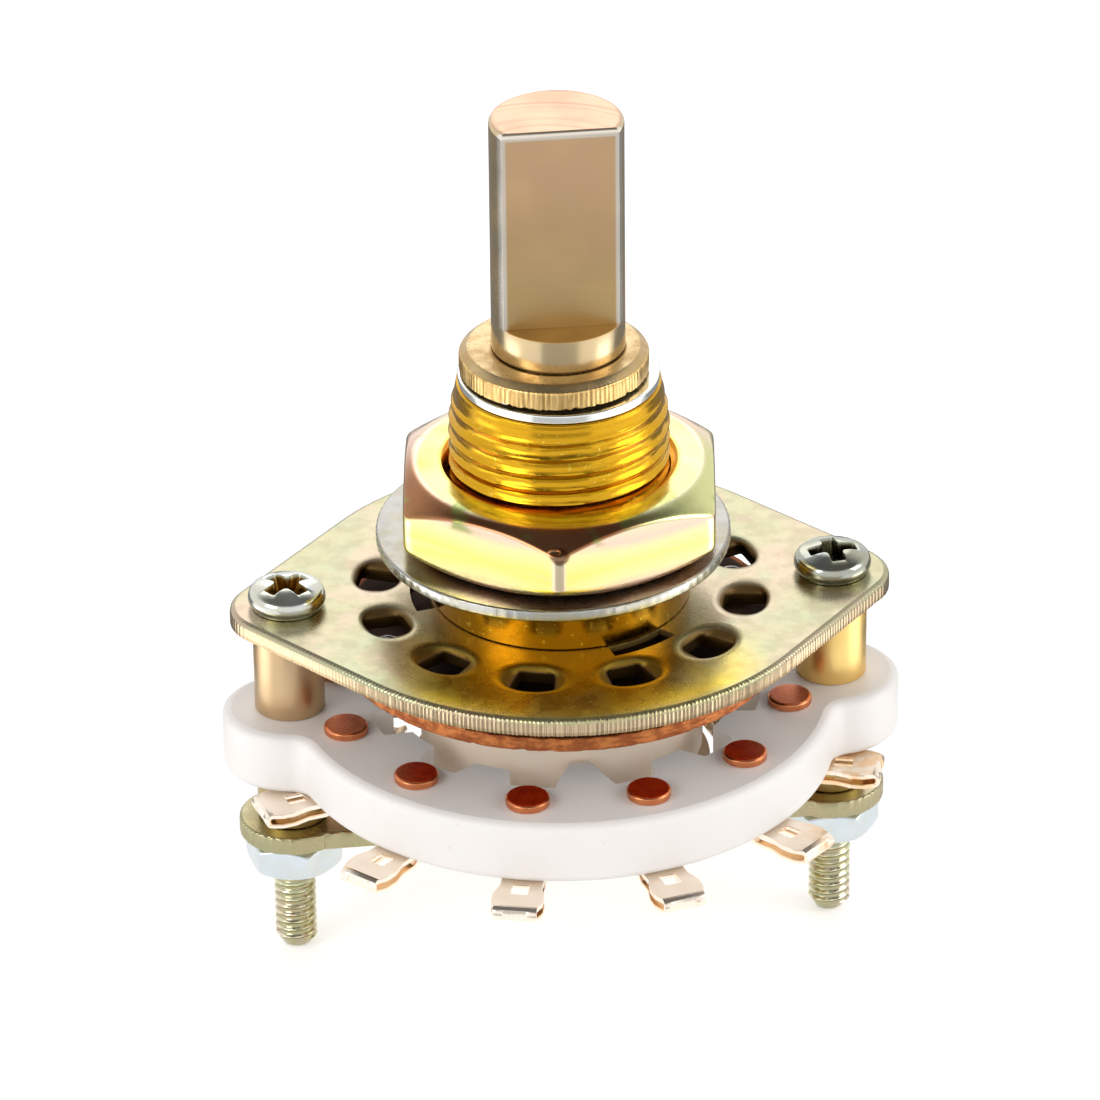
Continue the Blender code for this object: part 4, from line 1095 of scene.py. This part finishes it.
def toothed_loop(corner):
    """The wafer's bore: a window at each contact and a tooth after it."""
    window_radius, window_half = 9.1 * MM, 6.4
    corners = []
    for i in range(POSITIONS):
        window = FIRST_ANGLE + STEP_ANGLE * i
        radius, half = (6.75 * MM, 3.5) if i in LONG_TEETH else (7.85 * MM, 6.0)
        for turn in (-window_half, 0.0, window_half):
            corners.append((*polar(window_radius, window + turn), 2.2 * corner))
        for turn in (-half, 0.0, half):
            corners.append((*polar(radius, window + STEP_ANGLE / 2 + turn), corner))
    return rounded(corners)


def strip_path(reach):
    """Along a folded contact, in radius and height: upper jaw, leaf, end loop, leaf, lower jaw."""
    half = STRIP / 2
    wafer = low("stator").z
    blade_top, blade_bottom = levels("rotor_contact")
    leaf = wafer - GAP - half
    under = leaf - STRIP - GAP
    top = blade_top + 0.05 * MM + half
    bottom = blade_bottom - 0.05 * MM - half
    curl = (0.72 * MM - STRIP) / 2
    root, lip, rise = 8.62 * MM, 0.35 * MM, 0.17 * MM
    near, far = RIVET_CIRCLE - 0.87 * MM, RIVET_CIRCLE + 0.87 * MM
    soft = 0.3 * MM
    path = [
        (reach, top + rise),
        (reach + lip, top, soft),
        (root, top, soft),
        (near, leaf, soft),
        (far, leaf),
    ]
    path += arc((LUG_REACH - half - curl, leaf - curl), curl, 90.0, -90.0, 13)
    path += [
        (far + 2 * curl, leaf - 2 * curl, soft),
        (far, under, soft),
        (near, under, soft),
        (root, bottom, soft),
        (reach + lip, bottom, soft),
        (reach, bottom - rise),
    ]
    return rounded(path, closed=False)


def strip_loop(path):
    """The outline of a bent strip of even thickness along its middle line."""
    left, right = [], []
    for i, (x, y) in enumerate(path):
        (ax, ay), (bx, by) = path[max(i - 1, 0)], path[min(i + 1, len(path) - 1)]
        span = math.hypot(bx - ax, by - ay)
        nx, ny = -(by - ay) / span * STRIP / 2, (bx - ax) / span * STRIP / 2
        left.append((x + nx, y + ny))
        right.append((x - nx, y - ny))
    return left + right[::-1]


def contact_pattern(name, reach):
    """One contact lying along +X: the folded strip, cut to its plan with a lug at its end."""
    wide = 1.4 * MM
    strip = flat(name, [strip_loop(strip_path(reach))], -wide, wide)
    strip.data.transform(Matrix.Rotation(math.radians(90.0), 4, "X"))
    neck, lug, end = 0.95 * MM, 1.16 * MM, 0.98 * MM
    notch, deep, past = 0.55 * MM, LUG_REACH - 0.11 * MM, LUG_REACH + 0.5 * MM
    half = [
        (reach - 0.5 * MM, neck),
        (12.75 * MM, neck, 0.4 * MM),
        (13.45 * MM, lug, 0.4 * MM),
        (14.05 * MM, lug, 0.3 * MM),
        (14.5 * MM, end, 0.2 * MM),
        (past, end),
        (past, notch),
        (deep, notch, 0.05 * MM),
    ]
    mirror = [(x, -y, *radius) for x, y, *radius in reversed(half)]
    hole = [(12.6, -0.4), (13.45, -0.4), (13.45, 0.4), (12.6, 0.4)]
    loops = [
        rounded(half + mirror),
        rounded([(x * MM, y * MM, 0.1 * MM) for x, y in hole]),
        ring((RIVET_CIRCLE, 0.0), RIVET_BORE, 24),
    ]
    leaf = low("stator").z
    strip = carved(strip, flat("plan", loops, leaf - 4 * MM, leaf + 1 * MM), "INTERSECT")
    start, end, half = 11.7 * MM, 13.9 * MM, 0.65 * MM
    slot = block("slot", (start, -half, leaf - MM), (end, half, leaf - 0.25 * MM))
    return bevelled(carved(strip, slot), 0.03 * MM, 2, 40.0)


class SWITCH_OT_shaft(bpy.types.Operator):
    """Turns and mills the D shaft, with its clip and thin washer"""

    bl_idname = "switch.shaft"
    bl_label = "Shaft, clip and washer"

    def execute(self, context):
        s = context.scene.switch_shaft
        top, bottom = levels("shaft")
        clip_top, clip_bottom = levels("retaining_clip")
        radius, groove, spigot = s.diameter / 2, 2.5 * MM, 2.3 * MM
        disc, stake = high("index_disc").z + GAP, low("detent_spring").z - GAP
        staked = stake - 0.45 * MM
        edge = 0.08 * MM
        sag = 0.6 * (clip_bottom - high("shaft_washer").z)
        profile = [
            (0.0, top),
            (radius, top, s.end_round),
            (radius, clip_top + GAP, edge),
            (groove, clip_top + GAP),
            (groove, clip_bottom - GAP),
            (radius, clip_bottom - GAP, edge),
            (radius, disc, edge),
            (spigot, disc),
            (spigot, stake),
            (half_width("shaft"), stake, edge),
            (half_width("shaft"), staked, edge),
            (0.0, staked),
        ]
        shaft = lathe("d_shaft", profile, 144, closed=False)
        wide, over = 4 * radius, top + 0.02 * MM
        ledge, face = top - s.flat_length, radius - s.across_flat
        side = [(-wide, ledge), (face, ledge), (face, over, s.end_round), (wide, over), (wide, wide + top)]
        tool = flat("flat", [rounded(side + [(-wide, wide + top)])], -wide, wide)
        tool.data.transform(Matrix(((0, 0, 1, 0), (1, 0, 0, 0), (0, 1, 0, 0), (0, 0, 0, 1))))
        shaft = carved(shaft, tool)
        half_x, half_y = 2.1 * MM, 0.8 * MM
        bar = block("bar", (-half_x, -half_y, bottom), (half_x, half_y, stake - 0.2 * MM))
        shaft = bevelled(carved(shaft, bar, "UNION"), s.edge_round, 3, 38.0)
        done(shaft, shaft_brass(s), TURNING, ["shaft"], "satin_brass")

        outer, inner = half_width("retaining_clip"), groove + 0.05 * MM
        domed = [
            (inner, clip_top - 0.10 * MM, edge),
            (inner + 0.6 * MM, clip_top, 0.6 * MM),
            (outer - 0.35 * MM, clip_top - 0.03 * MM, 0.3 * MM),
            (outer, clip_top - 0.32 * MM, 0.2 * MM),
            (outer, clip_bottom - sag, 0.05 * MM),
            (outer - 0.7 * MM, clip_bottom - sag, 0.3 * MM),
            (outer - 0.9 * MM, clip_bottom),
            (inner, clip_bottom),
        ]
        clip = lathe("groove_clip", domed, 480)
        mouth = s.clip_mouth / 2
        tool = block("mouth", (-mouth, 0.0, clip_bottom - MM), (mouth, 3 * outer, clip_top + MM))
        clip = bevelled(carved(clip, tool), 0.06 * MM, 2, 50.0)
        finish = clip_brass(s)
        clip = sheared(clip, finish, outer - 0.3 * MM, 0.016, 118, ragged=0.10)
        for vert in clip.data.vertices:
            outward = (vert.co.xy.length - 3 * MM) / (0.5 * MM)
            vert.co.x -= s.clip_shift * min(1.0, max(0.0, outward))
        done(clip, finish, TURNING, ["retaining_clip"], "satin_brass")

        profile = tube(
            half_width("shaft_washer"), radius + 0.1 * MM, *levels("shaft_washer"), 0.1 * MM
        )
        washer = lathe("thin_washer", profile, 144)
        zinc = plain_zinc("thin_washer_zinc", context.scene.switch_nut, 0.0, (1.28, 1.25, 1.18))
        done(washer, zinc, FIXED, ["shaft_washer"], "white_zinc")
        return {"FINISHED"}


class SWITCH_OT_bushing(bpy.types.Operator):
    """Turns the bushing and cuts its thread"""

    bl_idname = "switch.bushing"
    bl_label = "Threaded bushing"

    def execute(self, context):
        s = context.scene.switch_bushing
        top, bottom = levels("bushing")
        collar, bore = half_width("bushing"), 3.05 * MM
        radius, plate = s.thread / 2, high("index_plate").z + GAP
        rivet, spigot = low("index_plate").z - GAP, 4.2 * MM
        edge = 0.07 * MM
        start = (radius - s.taper, top - 0.2 * MM)
        bend = (radius - 0.4 * s.taper, top - 0.5 * s.lead_in)
        full, foot = (radius, top - s.lead_in), (radius, 0.0)
        rows = [start]
        for first, last in ((start, bend), (bend, full), (full, foot)):
            rows += between(first, last, round((first[1] - last[1]) / (0.05 * MM))) + [last]
        profile = [
            (bore + 0.2 * MM, top),
            (radius - s.taper, top, 0.16 * MM),
            *rows,
            (collar, 0.0, edge),
            (collar, plate, edge),
            (spigot, plate),
            (spigot, rivet),
            (4.8 * MM, rivet, edge),
            (spigot, bottom, edge),
            (bore, bottom),
            (bore, top - 0.2 * MM),
        ]
        finish = bushing_brass(s)
        values = {"Pitch": s.pitch, "Depth": s.depth, "Groove": 0.94, "Fade": 0.9 * MM, "Wear": 0.25}
        values.update(Radius=radius, Bottom=0.1 * MM, Top=top - 0.3 * MM, Finish=finish)
        bushing = thread_recipe().applied(lathe("threaded_bushing", profile, 144), **values)
        done(bushing, finish, FIXED, ["bushing"], "bright_brass", 40.0)
        return {"FINISHED"}


class SWITCH_OT_panel_nut(bpy.types.Operator):
    """Makes the panel nut and its flat washer"""

    bl_idname = "switch.panel_nut"
    bl_label = "Panel nut and washer"

    def execute(self, context):
        s = context.scene.switch_nut
        bore = context.scene.switch_bushing.thread / 2 + 0.05 * MM
        sizes = (s.across_flats, s.face / 2, bore, 0.3 * MM)
        nut = hex_nut("hexagon_nut", "panel_nut", *sizes, s.turn, 3.2 * MM)
        x, y = polar(s.across_flats / math.sqrt(3.0) - 0.25 * MM, math.degrees(s.turn) - 91.5)
        dent = (x, y, high("panel_nut").z - 0.6 * MM)
        nut = carved(nut, ball("dent", dent, 0.36 * MM, (1.0, 0.8, 0.5)))
        done(nut, nut_chromate(s), FIXED, ["panel_nut"], "yellow_zinc", 25.0)

        rim = half_width("panel_washer")
        washer = lathe("flat_washer", tube(rim, 5.4 * MM, *levels("panel_washer"), 0.12 * MM), 360)
        zinc = washer_zinc(s, high("panel_washer").z / MM)
        washer = sheared(washer, zinc, rim - 0.3 * MM, 0.014, 90)
        moved(washer, (middle("panel_washer").x, middle("panel_washer").y, 0.0))
        done(washer, zinc, FIXED, ["panel_washer"], "white_zinc")
        return {"FINISHED"}


class SWITCH_OT_index_plate(bpy.types.Operator):
    """Stamps the index plate, with its detent pockets and staking windows"""

    bl_idname = "switch.index_plate"
    bl_label = "Index plate"

    def execute(self, context):
        s = context.scene.switch_plate
        top, bottom = levels("index_plate")
        reach = studs()[1]
        end_radius = half_width("index_plate") - reach
        outline = hull(high("index_plate").y, end_radius, reach)
        plate = rolled("stamped_plate", respaced(outline, 0.045 * MM), bottom, top, s.edge_round)
        bushing_hole = punch("index_plate", ring(AXIS, 4.25 * MM, 96))
        plate = carved(plate, joined("holes", [bushing_hole, *screw_holes("index_plate")]))
        finish = plate_chromate("plate_chromate", s)
        plate = carved(plate, copied_round("pockets", pocket_tool(), finish))
        outer, inner, half = 6.85 * MM, 5.95 * MM, 14.0
        windows = []
        for turn in (-62.0, 58.0, 178.0):
            loop = arc(AXIS, outer, turn - half, turn + half, 15)
            loop += arc(AXIS, inner, turn + half, turn - half, 15)
            windows.append(punch("index_plate", loop))
        plate = carved(plate, joined("windows", windows))
        plate = bevelled(plate, 0.07 * MM, 2, 50.0)
        plate = sheared(plate, finish, 11.2 * MM, *shear_sizes(s), 0.04, 12.0)
        done(plate, finish, FIXED, ["index_plate"], "yellow_zinc")
        return {"FINISHED"}


class SWITCH_OT_index_disc(bpy.types.Operator):
    """Makes the copper index disc, its two balls and their leaf spring"""

    bl_idname = "switch.index_disc"
    bl_label = "Index disc, balls and spring"

    def execute(self, context):
        s = context.scene.switch_plate
        top, bottom = levels("index_disc")
        radius = half_width("index_disc")
        centres = [middle("detent_ball_%d" % n) for n in (1, 2)]
        loops = [respaced(ring(AXIS, radius, 96), 0.16 * MM), ring(AXIS, SPIGOT_BORE, 64)]
        loops += [ring(centre.xy, 1.05 * MM, 32) for centre in centres]
        finish = disc_copper(s)
        disc = flat("copper_disc", loops, bottom, top, 0.1 * MM)
        disc = sheared(disc, finish, radius - 0.4 * MM, 0.03, 60, 0.32, 0.12)
        done(disc, finish, TURNING, ["index_disc"], "copper")

        steel = spring_steel()
        for number, centre in enumerate(centres, 1):
            item = ball("index_ball_%d" % number, centre, MM)
            done(item, steel, TURNING, ["detent_ball_%d" % number], "spring_steel")
        top, bottom = levels("detent_spring")
        hub, tip = 4 * MM, 1 * MM
        meet = math.degrees(math.asin(tip / hub))
        outline = arc((POCKET_CIRCLE, 0.0), tip, -90.0, 90.0, 13)
        outline += arc(AXIS, hub, meet, 180.0 - meet, 25)
        outline += [(-x, -y) for x, y in outline]
        spring = flat("leaf_spring", [outline, ring(AXIS, SPIGOT_BORE, 64)], bottom, top, 0.04 * MM)
        moved(spring, turn=math.radians(FIRST_ANGLE))
        done(spring, steel, TURNING, ["detent_spring"], "spring_steel")
        return {"FINISHED"}


class SWITCH_OT_screws(bpy.types.Operator):
    """Makes the two long screws, their spacer tubes and their nuts"""

    bl_idname = "switch.screws"
    bl_label = "Screws, spacers and nuts"

    def execute(self, context):
        nut_settings, s = context.scene.switch_nut, context.scene.switch_screws
        finish = screw_zinc(nut_settings, high("screw_left").z / MM)
        nut_finish = plain_zinc("small_nut_zinc", nut_settings, 0.12, (0.91, 0.95, 0.98))
        plain = context.scene.switch_shaft.plain
        upper = spacer_brass("upper_spacer_brass", plain, True)
        lower = spacer_brass("lower_spacer_brass", toned(plain, 0.62, 0.64, 0.5), False)
        for side, x in zip(SIDES, studs()):
            seat = high("index_plate").z + GAP
            top, end = levels("screw_" + side)
            head, radius = half_width("screw_" + side), s.screw / 2
            rise, tip, foot = top - seat, 0.36 * MM, end + 8.4 * MM
            profile = [
                (0.0, top),
                (0.45 * head, top - 0.03 * rise, head),
                (0.93 * head, top - 0.26 * rise, 0.7 * head),
                (head, seat + 0.32 * rise, 0.25 * head),
                (0.9 * head, seat, 0.05 * MM),
                (radius, seat),
                (radius, foot),
                *between((radius, foot), (radius, end + tip), 170),
                (radius, end + tip),
                (radius - tip, end, 0.06 * MM),
                (0.0, end),
            ]
            values = {"Pitch": 0.4 * MM, "Depth": 0.15 * MM, "Groove": 0.95, "Fade": 0.5 * MM, "Wear": 0.0}
            values.update(Radius=radius, Bottom=end + 0.1 * MM, Top=foot - 0.2 * MM, Finish=finish)
            screw = lathe("long_screw_" + side, profile, 64, closed=False)
            screw = thread_recipe().applied(screw, **values)
            turn = getattr(s, side + "_turn")
            sections = ((0.2, 1.2, 0.36), (-0.3, 1.08, 0.33), (-0.9, 0.84, 0.28), (-1.0, 0.5, 0.2))
            rings = []
            for z, long, wide in sections:
                corners = []
                for k in range(4):
                    for a, b, soft in ((long, -wide, 0.12), (long, wide, 0.12), (wide, wide, 0.22)):
                        place = Matrix.Rotation(turn + k * math.pi / 2, 2) @ Vector((a, b)) * MM
                        corners.append((*place, soft * MM))
                rings.append([(*point, top + z * MM) for point in rounded(corners)])
            screw = bevelled(carved(screw, loft("cross", rings)), 0.05 * MM, 2, 55.0)
            moved(screw, (x, 0.0, 0.0))
            done(screw, finish, FIXED, ["screw_" + side], "white_zinc", 30.0)

            for level, brass, slot in (("upper", upper, "satin_brass"), ("lower", lower, "bright_brass")):
                node = "%s_spacer_%s" % (level, side)
                profile = tube(half_width(node), TUBE_BORE, *levels(node), 0.09 * MM)
                spacer = moved(lathe("%s_tube_%s" % (level, side), profile, 96), (x, 0.0, 0.0))
                done(spacer, brass, FIXED, [node], slot)

            node = "screw_nut_" + side
            sizes = (4 * MM, 1.75 * MM, radius + 0.05 * MM, 0.12 * MM)
            turn = getattr(s, side + "_nut")
            nut = hex_nut("small_nut_" + side, node, *sizes, turn, 0.3 * MM, 34.0, 192)
            done(nut, nut_finish, FIXED, [node], "white_zinc", 25.0)
        return {"FINISHED"}


class SWITCH_OT_wafer(bpy.types.Operator):
    """Presses the ceramic stator and rotor"""

    bl_idname = "switch.wafer"
    bl_label = "Ceramic wafer and rotor"

    def execute(self, context):
        s = context.scene.switch_wafer
        top, bottom = levels("stator")
        reach = studs()[1]
        ear = half_width("stator") - reach
        outline = wafer_loop(high("stator").y, ear, 1.1 * MM, reach)
        stator = flat("ceramic_wafer", [outline], bottom, top, s.edge_round)
        tools = [punch("stator", toothed_loop(s.tooth_round)), *screw_holes("stator")]
        for i in range(POSITIONS):
            place = polar(RIVET_CIRCLE, FIRST_ANGLE + STEP_ANGLE * i)
            tools.append(punch("stator", ring(place, RIVET_BORE, 24)))
        stator = bevelled(carved(stator, joined("holes", tools)), s.tooth_round, 2, 50.0)
        ceramic = switch_ceramic(s)
        done(stator, ceramic, FIXED, ["stator"], "ceramic", 40.0)

        blade_top, blade_bottom = levels("rotor_contact")
        crown, end = levels("rotor")
        outer, neck, boss = half_width("rotor"), 5.6 * MM, 4.0 * MM
        edge = 0.15 * MM
        profile = [
            (0.0, crown - 0.15 * MM),
            (3.9 * MM, crown - 0.15 * MM),
            (4.1 * MM, crown, edge),
            (outer, crown, edge),
            (outer, bottom + 0.3 * MM, edge),
            (neck, bottom + 0.3 * MM),
            (neck, blade_top + GAP, edge),
            (boss, blade_top + GAP),
            (boss, end, edge),
            (0.0, end),
        ]
        rotor = lathe("ceramic_rotor", profile, 144, closed=False)
        half_x, half_y = 2.16 * MM, 0.86 * MM
        slot = block("slot", (-half_x, -half_y, end - MM), (half_x, half_y, crown + MM))
        rotor = bevelled(carved(rotor, slot), s.tooth_round, 2, 50.0)
        done(rotor, ceramic, TURNING, ["rotor"], "ceramic", 40.0)
        return {"FINISHED"}


class SWITCH_OT_contacts(bpy.types.Operator):
    """Folds the twelve contacts, rivets them on and adds the rotor's blade"""

    bl_idname = "switch.contacts"
    bl_label = "Contacts and rivets"

    def execute(self, context):
        strip = contact_strip(context.scene.switch_wafer)
        usual_reach, common_reach = 7.4 * MM, 6.3 * MM
        usual = contact_pattern("usual_contact", usual_reach)
        common = contact_pattern("common_contact", common_reach)
        contacts = copied_round("contacts", usual, strip, common, COMMON_POSITION)
        done(contacts, strip, FIXED, numbered("contact_clip"), "contact_alloy")

        head, shank, tail = 1.0 * MM, 0.6 * MM, 0.85 * MM
        top, end = levels("rivet_01")
        seat, under = high("stator").z + GAP, end + 0.3 * MM
        profile = [
            (0.0, top),
            (0.9 * head, top, 0.08 * MM),
            (head, top - 0.09 * MM, 0.08 * MM),
            (head, seat, 0.05 * MM),
            (shank, seat),
            (shank, under),
            (tail, under, 0.05 * MM),
            (tail, end, 0.14 * MM),
            (0.0, end),
        ]
        rivet = moved(lathe("rivet", profile, 40, closed=False), (RIVET_CIRCLE, 0.0, 0.0))
        copper = rivet_copper(context.scene.switch_plate, top / MM)
        rivets = copied_round("rivets", rivet, copper)
        done(rivets, copper, FIXED, numbered("rivet"), "copper")

        top, bottom = levels("rotor_contact")
        nose, rim, bore = 8.4 * MM, 6.8 * MM, 4.05 * MM
        start, end = FIRST_ANGLE - 99.0, FIRST_ANGLE - 81.0
        outline = arc(AXIS, nose, start, end, 13) + arc(AXIS, rim, end, start + 360.0, 121)
        blade = flat("rotor_blade", [outline, ring(AXIS, bore, 96)], bottom, top, 0.04 * MM)
        done(blade, strip, TURNING, ["rotor_contact"], "contact_alloy")
        return {"FINISHED"}


class SWITCH_OT_strap(bpy.types.Operator):
    """Stamps the strap across the back"""

    bl_idname = "switch.strap"
    bl_label = "Rear strap"

    def execute(self, context):
        s = context.scene.switch_plate
        top, bottom = levels("rear_strap")
        reach = studs()[1]
        end_radius, half, hub = half_width("rear_strap") - reach, 2.1 * MM, 3.7 * MM
        lean = math.degrees(math.asin(half / end_radius))
        meet = math.degrees(math.asin(half / hub))
        outline = arc((reach, 0.0), end_radius, lean - 180.0, 180.0 - lean, 33)
        outline += arc(AXIS, hub, meet, 180.0 - meet, 25)
        outline += [(-x, -y) for x, y in outline]
        loops = [respaced(outline, 0.07 * MM), ring(AXIS, 2.5 * MM, 64)]
        loops += [ring((x, 0.0), TUBE_BORE, 32) for x in studs()]
        finish = plate_chromate("strap_chromate", s, 0.3, 0.5)
        strap = flat("back_strap", loops, bottom, top, 0.11 * MM)
        strap = sheared(strap, finish, 3.0 * MM, *shear_sizes(s), 0.06)
        done(strap, finish, FIXED, ["rear_strap"], "yellow_zinc")
        return {"FINISHED"}


def glowing(name, strength):
    f = Finish(name)
    f.base = (0.0, 0.0, 0.0)
    return f.made(1.0, metallic=0.0, Emission_Color=WHITE, Emission_Strength=strength)


def reflector(name, corners, height, tone):
    """A card that shows in reflections only."""
    card = moved(flat(name, [corners], 0.0, MM), (0.0, 0.0, height))
    card.data.materials.append(tone)
    card.visible_camera = card.visible_diffuse = card.visible_shadow = False
    return card


class SWITCH_OT_studio(bpy.types.Operator):
    """Sets the pale floor, the soft light and the camera"""

    bl_idname = "switch.studio"
    bl_label = "Studio"

    def execute(self, context):
        s = context.scene.switch_studio
        scene = context.scene
        scene.view_settings.view_transform = "Standard"

        ground = low("screw_left").z - 0.1 * MM
        f = Finish("pale_floor")
        f.base = s.floor
        f.made(0.9, metallic=0.0, Emission_Color=WHITE)
        glow = f.rays("Camera", "Glossy", "Transmission") * s.glow
        f.tree.links.new(glow.socket, f.shader.inputs["Emission Strength"])
        bm = bmesh.new()
        bmesh.ops.create_circle(bm, cap_ends=True, segments=64, radius=2.5)
        floor = moved(add_mesh("floor", bm), (0.0, 0.0, ground))
        floor.data.materials.append(f.material)

        tones = (("dark_card", s.card), ("bright_card", s.side_cards), ("dim_card", s.dim_cards))
        dark, bright, dim = [glowing(name, tone) for name, tone in tones]
        corners = [(-0.022, -0.03), (-0.3, -0.45), (0.22, -0.45), (0.016, -0.03)]
        card = reflector("card", corners, ground + MM, dark)
        front = math.degrees(s.azimuth) - 90.0
        for side, way in zip(SIDES, (-1, 1)):
            for part, tone, near, far, first, last in (
                ("beside", bright, 0.034, 0.080, 68.0, 95.0),
                ("behind", dim, 0.030, 0.160, 106.0, 172.0),
            ):
                spread = (front + way * first, front + way * last)
                corners = arc(AXIS, near, *spread, 13) + arc(AXIS, far, *spread[::-1], 13)
                reflector("card_%s_%s" % (part, side), corners, ground + 2 * MM, tone)

        world = bpy.data.worlds.new("studio_world")
        world.use_nodes = True
        scene.world = world
        n = Net(world.node_tree)
        shell = world.node_tree.nodes["Background"]
        shell.inputs["Color"].default_value = rgba(WHITE)
        height = n.axes(n.add("ShaderNodeTexCoord", output="Generated"))[2]
        soft = 1.0 + (1.0 - n.rays("Camera", "Glossy")) * s.fill
        level = height.step(s.shade_start, s.shade_end, s.walls, s.ceiling) * soft
        n.tree.links.new(level.socket, shell.inputs["Strength"])

        for name, place, wide, share in (
            ("left_softbox", (-0.55, -0.35, 0.35), 0.35, 1.0),
            ("right_softbox", (0.55, -0.15, 0.30), 0.35, 0.7),
            ("back_softbox", (0.05, 0.8, 0.42), 0.5, 0.6),
        ):
            light = bpy.data.lights.new(name, "AREA")
            light.size, light.energy = wide, s.lamp * share
            lamp = bpy.data.objects.new(name, light)
            lamp.location = place
            lamp.rotation_euler = Vector(place).to_track_quat("Z", "Y").to_euler()
            scene.collection.objects.link(lamp)

        camera = bpy.data.cameras.new("camera")
        camera.lens, camera.sensor_width = 246.98, 36.0
        camera.shift_x, camera.shift_y = -0.0092, -0.0121
        camera.clip_start, camera.clip_end = 0.01, 20.0
        holder = bpy.data.objects.new("camera", camera)
        turns = ((s.azimuth, "Z"), (math.pi / 2 - s.elevation, "X"), (s.roll, "Z"))
        pan, tilt, lean = (Matrix.Rotation(turn, 4, axis) for turn, axis in turns)
        holder.matrix_world = pan @ tilt @ lean @ Matrix.Translation((0.0, 0.0, s.distance))
        scene.collection.objects.link(holder)
        scene.camera = holder
        return {"FINISHED"}


SETTINGS = {
    "switch_shaft": ShaftSettings,
    "switch_bushing": BushingSettings,
    "switch_nut": NutSettings,
    "switch_plate": PlateSettings,
    "switch_screws": ScrewSettings,
    "switch_wafer": WaferSettings,
    "switch_studio": StudioSettings,
}
OPERATORS = (
    SWITCH_OT_shaft,
    SWITCH_OT_bushing,
    SWITCH_OT_panel_nut,
    SWITCH_OT_index_plate,
    SWITCH_OT_index_disc,
    SWITCH_OT_screws,
    SWITCH_OT_wafer,
    SWITCH_OT_contacts,
    SWITCH_OT_strap,
    SWITCH_OT_studio,
)


class SWITCH_PT_build(bpy.types.Panel):
    bl_label = "Rotary wafer switch"
    bl_space_type = "VIEW_3D"
    bl_region_type = "UI"
    bl_category = "Switch"

    def draw(self, context):
        for name, group in SETTINGS.items():
            box = self.layout.box()
            for key in group.__annotations__:
                box.prop(getattr(context.scene, name), key)
        for operator in OPERATORS:
            self.layout.operator(operator.bl_idname)


def register():
    for cls in (*SETTINGS.values(), *OPERATORS, SWITCH_PT_build):
        bpy.utils.register_class(cls)
    for name, cls in SETTINGS.items():
        setattr(bpy.types.Scene, name, PointerProperty(type=cls))


def unregister():
    for name in SETTINGS:
        delattr(bpy.types.Scene, name)
    for cls in (SWITCH_PT_build, *OPERATORS, *SETTINGS.values()):
        bpy.utils.unregister_class(cls)


def main():
    register()
    for operator in OPERATORS:
        group, name = operator.bl_idname.split(".")
        getattr(getattr(bpy.ops, group), name)()


if __name__ == "__main__":
    main()
